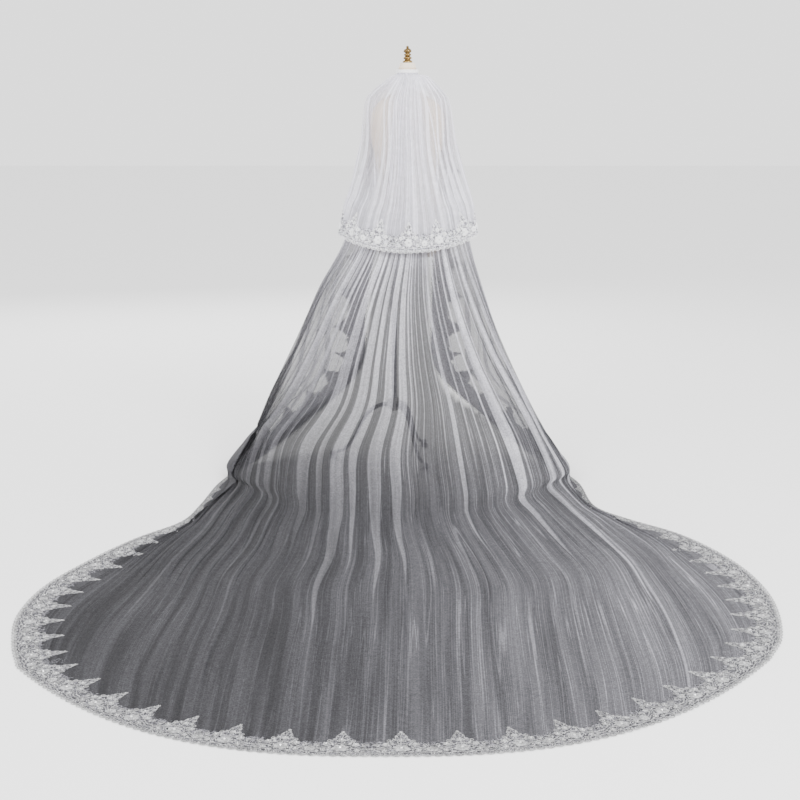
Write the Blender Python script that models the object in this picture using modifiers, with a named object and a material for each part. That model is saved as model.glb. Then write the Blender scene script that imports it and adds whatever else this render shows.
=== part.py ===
"""Two-tier bridal veil of soft net with lace edges, worn by a limbless dress form on a tripod stand.

Metres, +Z up. The form faces +Y, the long train lies on the floor towards -Y, and +X is to the right
of someone who looks at the veil from behind. The origin is at the centre of the footprint, on the floor.
Lengths named "back" are measured from the form's axis towards the train.
"""
import math
from collections import namedtuple

import bmesh
import bpy
import numpy as np

# Frame
TRAIN_REACH = 3.0787
FRONT_REACH = 0.2379
FORM_Y = (TRAIN_REACH - FRONT_REACH) / 2
SIDE_SHIFT = 0.0140
COLLECTION_NAME = "bridal_veil"

# Cloth walls
NET_WALL = 0.0010
LACE_WALL = 0.0010
LONG_SEAM_GAP = 0.0022
SHORT_SEAM_GAP = 0.0007

# Folds: each one is three columns wide, a valley, a ridge and a slope
FOLD_SHAPE = (-0.75, 1.0, 0.15)
LONG_FOLDS = 27
SHORT_FOLDS = 20
FOLD_UNEVENNESS = 0.32
FOLD_RHYTHM = 2.4
EDGE_SOFTENING = 0.30

# Each section is a ring of the hanging cloth. Its width and depths are half sizes, turn is how far
# the cloth reaches round each side in degrees, swell is the height of the folds, and behind is how
# far the ring's middle lies behind the form's axis.
Section = namedtuple("Section", "centre side back front z_back z_side z_front turn swell behind")
LONG_SECTIONS = (
    Section(0.010, 0.0395, 0.0395, 0.0395, 1.604, 1.604, 1.604, 100, 0.0000, 0.00),
    Section(0.010, 0.0400, 0.0400, 0.0400, 1.589, 1.589, 1.589, 102, 0.0003, 0.00),
    Section(0.013, 0.0680, 0.0600, 0.0520, 1.556, 1.571, 1.558, 125, 0.0016, 0.00),
    Section(0.010, 0.1510, 0.1050, 0.0920, 1.470, 1.488, 1.478, 142, 0.0046, 0.00),
    Section(0.014, 0.1830, 0.1300, 0.1350, 1.270, 1.290, 1.270, 150, 0.0085, 0.00),
    Section(0.016, 0.2150, 0.1540, 0.1600, 1.080, 1.095, 1.080, 152, 0.0110, 0.00),
    Section(0.008, 0.2540, 0.1860, 0.1780, 0.900, 0.915, 0.905, 152, 0.0135, 0.00),
    Section(-0.018, 0.3360, 0.2500, 0.2040, 0.700, 0.720, 0.735, 156, 0.0180, 0.00),
    Section(-0.028, 0.4240, 0.3300, 0.2240, 0.480, 0.500, 0.560, 160, 0.0220, 0.00),
    Section(-0.030, 0.5060, 0.3450, 0.3080, 0.305, 0.325, 0.347, 161, 0.0250, 0.08),
    Section(-0.028, 0.5870, 0.4100, 0.4130, 0.150, 0.165, 0.112, 139, 0.0250, 0.15),
    Section(-0.030, 0.6850, 0.4500, 0.3700, 0.040, 0.040, -0.120, 118, 0.0220, 0.30),
)
SHORT_SECTIONS = (
    Section(0.010, 0.0425, 0.0425, 0.0425, 1.604, 1.604, 1.604, 100, 0.0000, 0.00),
    Section(0.010, 0.0432, 0.0432, 0.0432, 1.589, 1.589, 1.589, 102, 0.0003, 0.00),
    Section(0.018, 0.0800, 0.0700, 0.0600, 1.562, 1.577, 1.564, 122, 0.0020, 0.00),
    Section(0.010, 0.1640, 0.1210, 0.1090, 1.476, 1.498, 1.488, 138, 0.0056, 0.00),
    Section(0.015, 0.2000, 0.1560, 0.1580, 1.280, 1.300, 1.290, 145, 0.0100, 0.00),
    Section(0.018, 0.2420, 0.1880, 0.1880, 1.105, 1.130, 1.165, 146, 0.0135, 0.00),
    Section(0.016, 0.2600, 0.2080, 0.2020, 1.020, 1.070, 1.130, 146, 0.0150, 0.00),
    Section(0.012, 0.2830, 0.2240, 0.2120, 0.893, 0.945, 1.005, 146, 0.0150, 0.00),
)

# Each train row is an arc across the floor: its reach at the centre, and where it meets the side edges
TrainRow = namedtuple("TrainRow", "back left left_back right right_back swell")
TRAIN_CENTRE = -0.045
TRAIN_BEND = 2.6
TRAIN_ROWS = (
    TrainRow(0.950, -0.728, 0.420, 0.680, 0.420, 0.0190),
    TrainRow(1.210, -0.764, 0.790, 0.704, 0.800, 0.0150),
    TrainRow(1.500, -0.802, 1.030, 0.800, 0.985, 0.0120),
    TrainRow(1.810, -0.928, 1.250, 0.946, 1.180, 0.0100),
    TrainRow(2.130, -1.034, 1.510, 1.042, 1.410, 0.0080),
    TrainRow(2.440, -1.118, 1.790, 1.098, 1.660, 0.0060),
    TrainRow(2.710, -1.134, 2.070, 1.108, 1.940, 0.0035),
    TrainRow(2.934, -1.090, 2.310, 1.062, 2.240, 0.0000),
    TrainRow(3.070, -1.034, 2.490, 0.986, 2.430, 0.0000),
)
ROW_SAMPLES = 300

# Lace: a band along the edge of the net, sewn to it at a seam, with scallops outside and a row of
# gaps between its flowers. It tapers in down each side edge from the section given here.
LACE_LINES = (0.36, 0.64)
LONG_BAND_DEPTH = 0.140
SHORT_BAND_DEPTH = 0.120
BAND_MOST = 0.12
SCALLOP = 0.009
LONG_LACE_STEP = 0.050
SHORT_LACE_STEP = 0.046
REPEAT_STEPS = 3
TAPER_START = 0.30
LONG_LACE_FROM = 4
SHORT_LACE_FROM = 3

# Heading and comb
BINDING_RADIUS = 0.0447
BINDING_TURN = 99
BINDING_TOP = 1.6060
BINDING_HEIGHT = 0.0130
BINDING_STEPS = 26
COMB_RADIUS = 0.0377
COMB_WALL = 0.0014
COMB_TURN = 62
COMB_TOP = 1.6020
COMB_BAR = 0.0080
COMB_TEETH_LENGTH = 0.0280
COMB_TEETH = 12

# Dress form: each ring has its height, half width and depths behind and in front
FORM_X = 0.010
FORM_SIDES = 28
Ring = namedtuple("Ring", "z side back front")
TORSO_RINGS = (
    Ring(0.8530, 0.106, 0.078, 0.076),
    Ring(0.9000, 0.137, 0.103, 0.090),
    Ring(0.9800, 0.161, 0.122, 0.104),
    Ring(1.0600, 0.151, 0.108, 0.101),
    Ring(1.1500, 0.124, 0.086, 0.093),
    Ring(1.2400, 0.130, 0.091, 0.104),
    Ring(1.3300, 0.147, 0.103, 0.110),
    Ring(1.3950, 0.150, 0.097, 0.092),
    Ring(1.4400, 0.142, 0.083, 0.070),
    Ring(1.4750, 0.118, 0.066, 0.058),
    Ring(1.5020, 0.078, 0.050, 0.045),
    Ring(1.5300, 0.047, 0.041, 0.038),
    Ring(1.5600, 0.0366, 0.0366, 0.0366),
    Ring(1.6120, 0.0364, 0.0364, 0.0364),
)

# Turned pieces: rows of radius and height, from the top down
TURN_STEPS = 16
AXIS_MERGE = 0.0001
Turn = namedtuple("Turn", "radius z")
CAP_PROFILE = (
    Turn(0.0000, 1.6330),
    Turn(0.0270, 1.6330),
    Turn(0.0292, 1.6312),
    Turn(0.0340, 1.6155),
    Turn(0.0350, 1.6123),
    Turn(0.0000, 1.6123),
)
FINIAL_PROFILE = (
    Turn(0.0000, 1.7000),
    Turn(0.0040, 1.6990),
    Turn(0.0058, 1.6950),
    Turn(0.0050, 1.6910),
    Turn(0.0105, 1.6880),
    Turn(0.0160, 1.6810),
    Turn(0.0162, 1.6760),
    Turn(0.0090, 1.6710),
    Turn(0.0150, 1.6670),
    Turn(0.0150, 1.6620),
    Turn(0.0095, 1.6585),
    Turn(0.0172, 1.6540),
    Turn(0.0172, 1.6490),
    Turn(0.0110, 1.6450),
    Turn(0.0195, 1.6400),
    Turn(0.0195, 1.6333),
    Turn(0.0000, 1.6333),
)
POLE_X = -0.045
FLANGE_PROFILE = (
    Turn(0.0000, 0.8527),
    Turn(0.0270, 0.8527),
    Turn(0.0270, 0.8490),
    Turn(0.0215, 0.8440),
    Turn(0.0180, 0.8120),
    Turn(0.0000, 0.8120),
)
UPPER_TUBE_PROFILE = (
    Turn(0.0000, 0.8117),
    Turn(0.0140, 0.8117),
    Turn(0.0140, 0.6703),
    Turn(0.0000, 0.6703),
)
COLLAR_PROFILE = (
    Turn(0.0000, 0.6700),
    Turn(0.0165, 0.6700),
    Turn(0.0180, 0.6680),
    Turn(0.0180, 0.6480),
    Turn(0.0165, 0.6420),
    Turn(0.0000, 0.6420),
)
LOWER_POLE_PROFILE = (
    Turn(0.0000, 0.6417),
    Turn(0.0110, 0.6417),
    Turn(0.0110, 0.2623),
    Turn(0.0000, 0.2623),
)
HUB_PROFILE = (
    Turn(0.0000, 0.2620),
    Turn(0.0150, 0.2620),
    Turn(0.0190, 0.2560),
    Turn(0.0270, 0.2500),
    Turn(0.0290, 0.2440),
    Turn(0.0290, 0.2180),
    Turn(0.0240, 0.2110),
    Turn(0.0110, 0.2030),
    Turn(0.0000, 0.2020),
)

# Legs and feet
LEG_TURNS = (30, 150, 270)
LEG_LETTERS = "abc"
Bend = namedtuple("Bend", "reach z radius")
LEG_BENDS = (
    Bend(0.0302, 0.2310, 0.0095),
    Bend(0.0480, 0.2305, 0.0090),
    Bend(0.0800, 0.2180, 0.0085),
    Bend(0.1120, 0.1920, 0.0080),
    Bend(0.1400, 0.1500, 0.0076),
    Bend(0.1650, 0.0990, 0.0072),
    Bend(0.1930, 0.0560, 0.0068),
    Bend(0.2250, 0.0310, 0.0065),
    Bend(0.2700, 0.0228, 0.0062),
)
LEG_STEPS = 2
FOOT_REACH = 0.2580
FOOT_PROFILE = (
    Turn(0.0000, 0.0158),
    Turn(0.0120, 0.0158),
    Turn(0.0140, 0.0135),
    Turn(0.0145, 0.0020),
    Turn(0.0130, 0.0000),
    Turn(0.0000, 0.0000),
)
FOOT_STEPS = 12

# Materials: colour, roughness and metallic value
NET_LOOK = ((0.86, 0.86, 0.89), 0.85, 0.0)
LACE_LOOK = ((0.93, 0.93, 0.93), 0.70, 0.0)
BINDING_LOOK = ((0.92, 0.92, 0.93), 0.55, 0.0)
COMB_LOOK = ((0.80, 0.81, 0.83), 0.30, 0.9)
JERSEY_LOOK = ((0.80, 0.71, 0.60), 0.90, 0.0)
CAP_LOOK = ((0.78, 0.70, 0.60), 0.85, 0.0)
BRASS_LOOK = ((0.56, 0.40, 0.16), 0.28, 1.0)
CREAM_METAL_LOOK = ((0.74, 0.71, 0.66), 0.40, 0.3)
DARK_METAL_LOOK = ((0.14, 0.14, 0.15), 0.42, 0.6)
RUBBER_LOOK = ((0.05, 0.05, 0.05), 0.75, 0.0)


def ring_points(section):
    """Points round a section, from the left edge past the back to the right edge."""
    angle = np.radians(np.linspace(-section.turn, section.turn, ROW_SAMPLES))
    across, along = np.sin(angle), np.cos(angle)
    depth = np.where(along > 0, section.back, section.front)
    z_end = np.where(along > 0, section.z_back, section.z_front)
    height = section.z_side * across**2 + z_end * along**2
    along_back = section.behind + depth * along
    return np.column_stack([section.centre + section.side * across, along_back, height])


def train_points(row):
    """Points along a train row, from the left edge to the right edge."""
    share = np.linspace(-1, 1, ROW_SAMPLES)
    fall = np.abs(share) ** TRAIN_BEND
    on_left = share < 0
    reach = np.where(on_left, TRAIN_CENTRE - row.left, row.right - TRAIN_CENTRE)
    back = row.back + (np.where(on_left, row.left_back, row.right_back) - row.back) * fall
    return np.column_stack([TRAIN_CENTRE + reach * share, back, np.zeros(ROW_SAMPLES)])


def grid_row(section, folds, band_depth):
    """A section's grid points: both edges, with even columns between the lace's seams."""
    points = train_points(section) if isinstance(section, TrainRow) else ring_points(section)
    steps = np.linalg.norm(np.diff(points, axis=0), axis=1)
    walked = np.concatenate([[0], np.cumsum(steps)])
    band = min(band_depth, BAND_MOST * walked[-1])
    inner = np.linspace(band, walked[-1] - band, folds * len(FOLD_SHAPE) + 1)
    places = np.concatenate([[0], inner, [walked[-1]]])
    return np.column_stack([np.interp(places, walked, points[:, k]) for k in range(3)])


def grid_normals(grid):
    """Outward unit normals of a grid of points, by column and row."""
    across = np.gradient(grid, axis=0)
    down = np.gradient(grid, axis=1)
    normal = np.cross(down, across)
    return normal / np.linalg.norm(normal, axis=2, keepdims=True)


def fold_heights(folds):
    """How far each column stands out, as a share of the swell: valleys, ridges and slopes."""
    heights = []
    for fold in range(folds):
        uneven = 1 - FOLD_UNEVENNESS * (0.5 + 0.5 * math.sin(FOLD_RHYTHM * fold))
        soft = EDGE_SOFTENING if fold in (0, folds - 1) else 1.0
        heights += [height * uneven * soft for height in FOLD_SHAPE]
    heights[0] = 0.0
    return np.array([0.0] + heights + [0.0, 0.0])


def cloth_grid(sections, folds, band_depth, lace_from):
    """The middle surface of one tier with its folds, as points by column and row."""
    depths = [band_depth if index > lace_from else 0.0 for index in range(len(sections))]
    rows = [grid_row(section, folds, depth) for section, depth in zip(sections, depths)]
    guide = np.stack(rows, axis=1)
    swell = np.array([section.swell for section in sections])
    height = fold_heights(folds)[:, None] * swell[None, :]
    normals = grid_normals(guide[1:-1])
    normals = np.concatenate([normals[:1], normals, normals[-1:]])
    grid = guide + normals * height[:, :, None]
    grid[:, :, 2] = np.maximum(grid[:, :, 2], NET_WALL / 2)
    return grid


def in_frame(points):
    """Points given by across, back and height, in the part's own axes."""
    points = np.asarray(points, dtype=float)
    placed = points.copy()
    placed[..., 0] += SIDE_SHIFT
    placed[..., 1] = FORM_Y - points[..., 1]
    return placed


def on_grid(grid, column, row):
    """The point of a grid at any place between its points, or just past its edges."""
    c0 = int(np.clip(math.floor(column), 0, grid.shape[0] - 2))
    r0 = int(np.clip(math.floor(row), 0, grid.shape[1] - 2))
    u, v = column - c0, row - r0
    upper = (1 - u) * grid[c0, r0] + u * grid[c0 + 1, r0]
    lower = (1 - u) * grid[c0, r0 + 1] + u * grid[c0 + 1, r0 + 1]
    return (1 - v) * upper + v * lower


def principled(name, look):
    """A plain material from a colour, a roughness and a metallic value."""
    colour, roughness, metallic = look
    material = bpy.data.materials.new(name)
    material.use_nodes = True
    shader = material.node_tree.nodes["Principled BSDF"]
    shader.inputs["Base Color"].default_value = (*colour, 1.0)
    shader.inputs["Roughness"].default_value = roughness
    shader.inputs["Metallic"].default_value = metallic
    return material


def add_object(name, data, look):
    """A named object in the veil's collection with its own material."""
    obj = bpy.data.objects.new(name, data)
    bpy.data.collections[COLLECTION_NAME].objects.link(obj)
    data.materials.append(principled(name, look))
    return obj


def sheet_object(name, grid, wall, look, holes=()):
    """A wall of cloth on a grid of points by column and row, with some of its cells left out."""
    columns, rows = grid.shape[0] - 1, grid.shape[1] - 1
    bm = bmesh.new()
    bmesh.ops.create_grid(bm, x_segments=columns, y_segments=rows, size=1.0)
    open_cells = []
    for face in bm.faces:
        middle = face.calc_center_median()
        cell = (int((middle.x + 1) / 2 * columns), int((1 - middle.y) / 2 * rows))
        if cell in holes:
            open_cells.append(face)
    for vert in bm.verts:
        column = round((vert.co.x + 1) / 2 * columns)
        row = round((1 - vert.co.y) / 2 * rows)
        vert.co = grid[column, row]
    bmesh.ops.delete(bm, geom=open_cells, context="FACES")
    mesh = bpy.data.meshes.new(name)
    bm.to_mesh(mesh)
    bm.free()
    mesh.shade_smooth()
    obj = add_object(name, mesh, look)
    shell = obj.modifiers.new("wall", "SOLIDIFY")
    shell.thickness = wall
    shell.offset = 0.0
    return obj


def places_along(points, step, first, last):
    """Places along a line of grid points about one step apart, that keep each of its points."""
    places = []
    for index in range(first, last):
        length = np.linalg.norm(points[index + 1] - points[index])
        parts = max(1, round(length / step))
        places += [index + part / parts for part in range(parts)]
    return places + [float(last)]


def lace_band(name, grid, edge, places, depth, seam_gap):
    """A band of lace along one edge of a tier, between the edge and the seam of the net."""
    last_column, last_row = grid.shape[0] - 1, grid.shape[1] - 1
    lines = []
    for index, place in enumerate(places):
        beyond = SCALLOP / depth * (1.0 if index % REPEAT_STEPS else 0.0)
        line = []
        for share in (-beyond, *LACE_LINES, 1 - seam_gap / depth):
            column, row = place, last_row - share
            if edge != "hem":
                column, row = (share if edge == "left" else last_column - share), place
            line.append(on_grid(grid, column, row))
        lines.append(line)
    band = np.array(lines)
    gaps = range(REPEAT_STEPS, len(places) - REPEAT_STEPS, REPEAT_STEPS)
    if edge == "hem":
        return sheet_object(name, in_frame(band[:, ::-1]), LACE_WALL, LACE_LOOK, {(g, 1) for g in gaps})
    band = band.transpose(1, 0, 2)
    band = band if edge == "left" else band[::-1]
    return sheet_object(name, in_frame(band), LACE_WALL, LACE_LOOK, {(1, g) for g in gaps})


def arc_grid(radius, turn, heights, columns):
    """A strip round the back of the neck, as points by column and row."""
    grid = []
    for column in range(columns + 1):
        angle = math.radians(turn * (2 * column / columns - 1))
        across, back = FORM_X + radius * math.sin(angle), radius * math.cos(angle)
        grid.append([(across, back, height) for height in heights])
    return in_frame(grid)


def turned(name, profile, x, y, steps, look):
    """A turned solid from a profile that runs from the top down."""
    bm = bmesh.new()
    verts = [bm.verts.new((row.radius, 0.0, row.z)) for row in profile]
    for upper, lower in zip(verts, verts[1:]):
        bm.edges.new((upper, lower))
    mesh = bpy.data.meshes.new(name)
    bm.to_mesh(mesh)
    bm.free()
    obj = add_object(name, mesh, look)
    obj.location = (x, y, 0.0)
    screw = obj.modifiers.new("turn", "SCREW")
    screw.steps = steps
    screw.render_steps = steps
    screw.use_merge_vertices = True
    screw.merge_threshold = AXIS_MERGE
    return obj


def torso(name, look):
    """The padded body of the form: a ball's rings set to the form's widths and depths."""
    bm = bmesh.new()
    bmesh.ops.create_uvsphere(bm, u_segments=FORM_SIDES, v_segments=len(TORSO_RINGS) + 1, radius=1.0)
    levels = sorted({round(vert.co.z, 4) for vert in bm.verts})
    for vert in bm.verts:
        level = levels.index(round(vert.co.z, 4))
        ring = TORSO_RINGS[min(max(level - 1, 0), len(TORSO_RINGS) - 1)]
        angle = math.atan2(vert.co.y, vert.co.x)
        reach = 1.0 if 0 < level < len(levels) - 1 else 0.0
        depth = ring.front if vert.co.y > 0 else ring.back
        vert.co = (ring.side * math.cos(angle) * reach, depth * math.sin(angle) * reach, ring.z)
    mesh = bpy.data.meshes.new(name)
    bm.to_mesh(mesh)
    bm.free()
    mesh.shade_smooth()
    obj = add_object(name, mesh, look)
    obj.location = (FORM_X + SIDE_SHIFT, FORM_Y, 0.0)
    return obj


def smooth_rows(rows, steps):
    """Rows on a smooth curve through the given rows, with the same number of steps between each pair."""
    rows = np.array(rows, dtype=float)
    padded = np.vstack([2 * rows[0] - rows[1], rows, 2 * rows[-1] - rows[-2]])
    curve = []
    for before, start, end, after in zip(padded, padded[1:], padded[2:], padded[3:]):
        for step in range(steps):
            t = step / steps
            square = (2 * before - 5 * start + 4 * end - after) * t**2
            cube = (3 * start - before - 3 * end + after) * t**3
            curve.append(start + ((end - before) * t + square + cube) / 2)
    return curve + [rows[-1]]


def leg(name, turn, look):
    """A bent leg from the hub to its foot."""
    rows = smooth_rows(LEG_BENDS, LEG_STEPS)
    curve = bpy.data.curves.new(name, "CURVE")
    curve.dimensions = "3D"
    curve.bevel_depth = 1.0
    curve.bevel_resolution = 2
    curve.use_fill_caps = True
    spline = curve.splines.new("POLY")
    spline.points.add(len(rows) - 1)
    angle = math.radians(turn)
    for point, (reach, z, radius) in zip(spline.points, rows):
        point.co = (reach * math.sin(angle), -reach * math.cos(angle), z, 1.0)
        point.radius = radius
    obj = add_object(name, curve, look)
    obj.location = (POLE_X + SIDE_SHIFT, FORM_Y, 0.0)
    return obj


def tier(name, sections, folds, depth, lace_from, step, seam_gap):
    """One tier of net with its lace down both side edges and along the hem."""
    grid = cloth_grid(sections, folds, depth, lace_from)
    last_column, last_row = grid.shape[0] - 1, grid.shape[1] - 1
    sheet_object(name, in_frame(grid[1:-1, :-1]), NET_WALL, NET_LOOK)
    for edge, column in (("left", 0), ("right", last_column)):
        start = lace_from + TAPER_START
        places = places_along(grid[column], step, lace_from, last_row)
        places = [start] + [place for place in places if place > start + TAPER_START / 2]
        lace_band(f"{name}_lace_{edge}", grid, edge, places, depth, seam_gap)
    places = places_along(grid[:, last_row], step, 1, last_column - 1)
    cell = np.linalg.norm(grid[2, last_row] - grid[1, last_row])
    places[0] += seam_gap / cell
    places[-1] -= seam_gap / cell
    lace_band(f"{name}_lace_hem", grid, "hem", places, depth, seam_gap)


def build_cloth():
    """Both tiers with their lace."""
    long_lace = (LONG_BAND_DEPTH, LONG_LACE_FROM, LONG_LACE_STEP, LONG_SEAM_GAP)
    short_lace = (SHORT_BAND_DEPTH, SHORT_LACE_FROM, SHORT_LACE_STEP, SHORT_SEAM_GAP)
    tier("long_tier", LONG_SECTIONS + TRAIN_ROWS, LONG_FOLDS, *long_lace)
    tier("short_tier", SHORT_SECTIONS, SHORT_FOLDS, *short_lace)


def build_heading():
    """The binding that holds the gathers, and the comb inside them."""
    heights = (BINDING_TOP, BINDING_TOP - BINDING_HEIGHT)
    binding = arc_grid(BINDING_RADIUS, BINDING_TURN, heights, BINDING_STEPS)
    sheet_object("binding", binding, NET_WALL, BINDING_LOOK)
    cells = 2 * COMB_TEETH - 1
    levels = (COMB_TOP, COMB_TOP - COMB_BAR, COMB_TOP - COMB_BAR - COMB_TEETH_LENGTH)
    comb = arc_grid(COMB_RADIUS, COMB_TURN, levels, cells)
    gaps = {(cell, 1) for cell in range(1, cells, 2)}
    sheet_object("comb", comb, COMB_WALL, COMB_LOOK, gaps)


def build_form():
    """The dress form with its cap and finial."""
    x, y = FORM_X + SIDE_SHIFT, FORM_Y
    torso("form_body", JERSEY_LOOK)
    turned("form_cap", CAP_PROFILE, x, y, TURN_STEPS, CAP_LOOK)
    turned("form_finial", FINIAL_PROFILE, x, y, TURN_STEPS, BRASS_LOOK)


def build_stand():
    """The pole in its flange, the hub, and three legs on their feet."""
    x, y = POLE_X + SIDE_SHIFT, FORM_Y
    turned("stand_flange", FLANGE_PROFILE, x, y, TURN_STEPS, CREAM_METAL_LOOK)
    turned("stand_upper_tube", UPPER_TUBE_PROFILE, x, y, TURN_STEPS, CREAM_METAL_LOOK)
    turned("stand_collar", COLLAR_PROFILE, x, y, TURN_STEPS, CREAM_METAL_LOOK)
    turned("stand_lower_pole", LOWER_POLE_PROFILE, x, y, TURN_STEPS, DARK_METAL_LOOK)
    turned("stand_hub", HUB_PROFILE, x, y, TURN_STEPS, CREAM_METAL_LOOK)
    for letter, turn in zip(LEG_LETTERS, LEG_TURNS):
        angle = math.radians(turn)
        leg(f"stand_leg_{letter}", turn, DARK_METAL_LOOK)
        foot_x, foot_y = x + FOOT_REACH * math.sin(angle), y - FOOT_REACH * math.cos(angle)
        turned(f"stand_foot_{letter}", FOOT_PROFILE, foot_x, foot_y, FOOT_STEPS, RUBBER_LOOK)


def main():
    """Clears the scene and builds the veil on its form."""
    for obj in list(bpy.data.objects):
        bpy.data.objects.remove(obj)
    collection = bpy.data.collections.new(COLLECTION_NAME)
    bpy.context.scene.collection.children.link(collection)
    build_cloth()
    build_heading()
    build_form()
    build_stand()


main()
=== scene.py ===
"""Looks for the two-tier veil on its dress form: sheer net, corded lace edges, jersey form and stand."""

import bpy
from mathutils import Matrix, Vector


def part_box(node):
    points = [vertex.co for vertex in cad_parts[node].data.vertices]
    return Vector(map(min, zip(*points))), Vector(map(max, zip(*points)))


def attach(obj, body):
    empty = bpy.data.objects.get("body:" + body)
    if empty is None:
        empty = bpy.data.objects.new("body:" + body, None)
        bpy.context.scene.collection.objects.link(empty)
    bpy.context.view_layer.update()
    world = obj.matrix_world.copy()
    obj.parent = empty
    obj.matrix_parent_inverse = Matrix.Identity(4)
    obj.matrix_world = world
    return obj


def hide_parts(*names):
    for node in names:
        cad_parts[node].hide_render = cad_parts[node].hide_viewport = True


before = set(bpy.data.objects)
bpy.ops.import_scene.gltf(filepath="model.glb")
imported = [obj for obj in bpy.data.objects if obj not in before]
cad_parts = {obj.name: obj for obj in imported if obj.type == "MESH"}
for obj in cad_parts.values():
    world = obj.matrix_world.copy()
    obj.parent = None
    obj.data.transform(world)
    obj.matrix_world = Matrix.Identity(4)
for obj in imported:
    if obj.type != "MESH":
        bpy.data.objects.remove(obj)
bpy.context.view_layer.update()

import math
import random
from collections import namedtuple

import bmesh
import bpy
import numpy as np
from mathutils import Vector, noise
from mathutils.bvhtree import BVHTree
from mathutils.kdtree import KDTree

# Frame and camera
BODY = "root"
finial_low, finial_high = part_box("form_finial")
FORM_AXIS_X = (finial_low[0] + finial_high[0]) / 2
FORM_AXIS_Y = (finial_low[1] + finial_high[1]) / 2
SIDE_SHIFT = FORM_AXIS_X - 0.010
POLE_AXIS_X = SIDE_SHIFT - 0.045

CAMERA_DISTANCE = 6.5
CAMERA_HEIGHT = 1.5
CAMERA_TILT = 10.9
CAMERA_LENS = 70.96
CAMERA_SHIFT = -0.00625


def add_camera():
    """A camera behind the veil at eye height, tilted down to the train."""
    camera = bpy.data.objects.new("camera", bpy.data.cameras.new("camera"))
    bpy.context.scene.collection.objects.link(camera)
    camera.location = (SIDE_SHIFT, FORM_AXIS_Y - CAMERA_DISTANCE, CAMERA_HEIGHT)
    camera.rotation_euler = (math.radians(90 - CAMERA_TILT), 0, 0)
    camera.data.lens = CAMERA_LENS
    camera.data.shift_x = CAMERA_SHIFT
    camera.data.dof.use_dof = False
    bpy.context.scene.camera = camera


add_camera()

# Cloth sizes, as in the part's source
Section = namedtuple("Section", "centre side back front z_back z_side z_front turn swell behind")
LONG_SECTIONS = (
    Section(0.010, 0.0395, 0.0395, 0.0395, 1.604, 1.604, 1.604, 100, 0.0000, 0.00),
    Section(0.010, 0.0400, 0.0400, 0.0400, 1.589, 1.589, 1.589, 102, 0.0003, 0.00),
    Section(0.013, 0.0680, 0.0600, 0.0520, 1.556, 1.571, 1.558, 125, 0.0016, 0.00),
    Section(0.010, 0.1510, 0.1050, 0.0920, 1.470, 1.488, 1.478, 142, 0.0046, 0.00),
    Section(0.014, 0.1830, 0.1300, 0.1350, 1.270, 1.290, 1.270, 150, 0.0085, 0.00),
    Section(0.016, 0.2150, 0.1540, 0.1600, 1.080, 1.095, 1.080, 152, 0.0110, 0.00),
    Section(0.008, 0.2540, 0.1860, 0.1780, 0.900, 0.915, 0.905, 152, 0.0135, 0.00),
    Section(-0.018, 0.3360, 0.2500, 0.2040, 0.700, 0.720, 0.735, 156, 0.0180, 0.00),
    Section(-0.028, 0.4240, 0.3300, 0.2240, 0.480, 0.500, 0.560, 160, 0.0220, 0.00),
    Section(-0.030, 0.5060, 0.3450, 0.3080, 0.305, 0.325, 0.347, 161, 0.0250, 0.08),
    Section(-0.028, 0.5870, 0.4100, 0.4130, 0.150, 0.165, 0.112, 139, 0.0250, 0.15),
    Section(-0.030, 0.6850, 0.4500, 0.3700, 0.040, 0.040, -0.120, 118, 0.0220, 0.30),
)
SHORT_SECTIONS = (
    Section(0.010, 0.0425, 0.0425, 0.0425, 1.604, 1.604, 1.604, 100, 0.0000, 0.00),
    Section(0.010, 0.0432, 0.0432, 0.0432, 1.589, 1.589, 1.589, 102, 0.0003, 0.00),
    Section(0.018, 0.0800, 0.0700, 0.0600, 1.562, 1.577, 1.564, 122, 0.0020, 0.00),
    Section(0.010, 0.1640, 0.1210, 0.1090, 1.476, 1.498, 1.488, 138, 0.0056, 0.00),
    Section(0.015, 0.2000, 0.1560, 0.1580, 1.280, 1.300, 1.290, 145, 0.0100, 0.00),
    Section(0.018, 0.2420, 0.1880, 0.1880, 1.105, 1.130, 1.165, 146, 0.0135, 0.00),
    Section(0.016, 0.2600, 0.2080, 0.2020, 1.020, 1.070, 1.130, 146, 0.0150, 0.00),
    Section(0.012, 0.2830, 0.2240, 0.2120, 0.893, 0.945, 1.005, 146, 0.0150, 0.00),
)
TrainRow = namedtuple("TrainRow", "back left left_back right right_back swell")
TRAIN_CENTRE = -0.045
TRAIN_BEND = 2.6
TRAIN_ROWS = (
    TrainRow(0.950, -0.728, 0.420, 0.680, 0.420, 0.0190),
    TrainRow(1.210, -0.764, 0.790, 0.704, 0.800, 0.0150),
    TrainRow(1.500, -0.802, 1.030, 0.800, 0.985, 0.0120),
    TrainRow(1.810, -0.928, 1.250, 0.946, 1.180, 0.0100),
    TrainRow(2.130, -1.034, 1.510, 1.042, 1.410, 0.0080),
    TrainRow(2.440, -1.118, 1.790, 1.098, 1.660, 0.0060),
    TrainRow(2.710, -1.134, 2.070, 1.108, 1.940, 0.0035),
    TrainRow(2.934, -1.090, 2.310, 1.062, 2.240, 0.0000),
    TrainRow(3.070, -1.034, 2.490, 0.986, 2.430, 0.0000),
)
ROW_SAMPLES = 300
FOLD_SHAPE = (-0.75, 1.0, 0.15)
FOLD_UNEVENNESS = 0.32
FOLD_RHYTHM = 2.4
EDGE_SOFTENING = 0.30
BAND_MOST = 0.12
FLOOR_GAP = 0.0009

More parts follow.
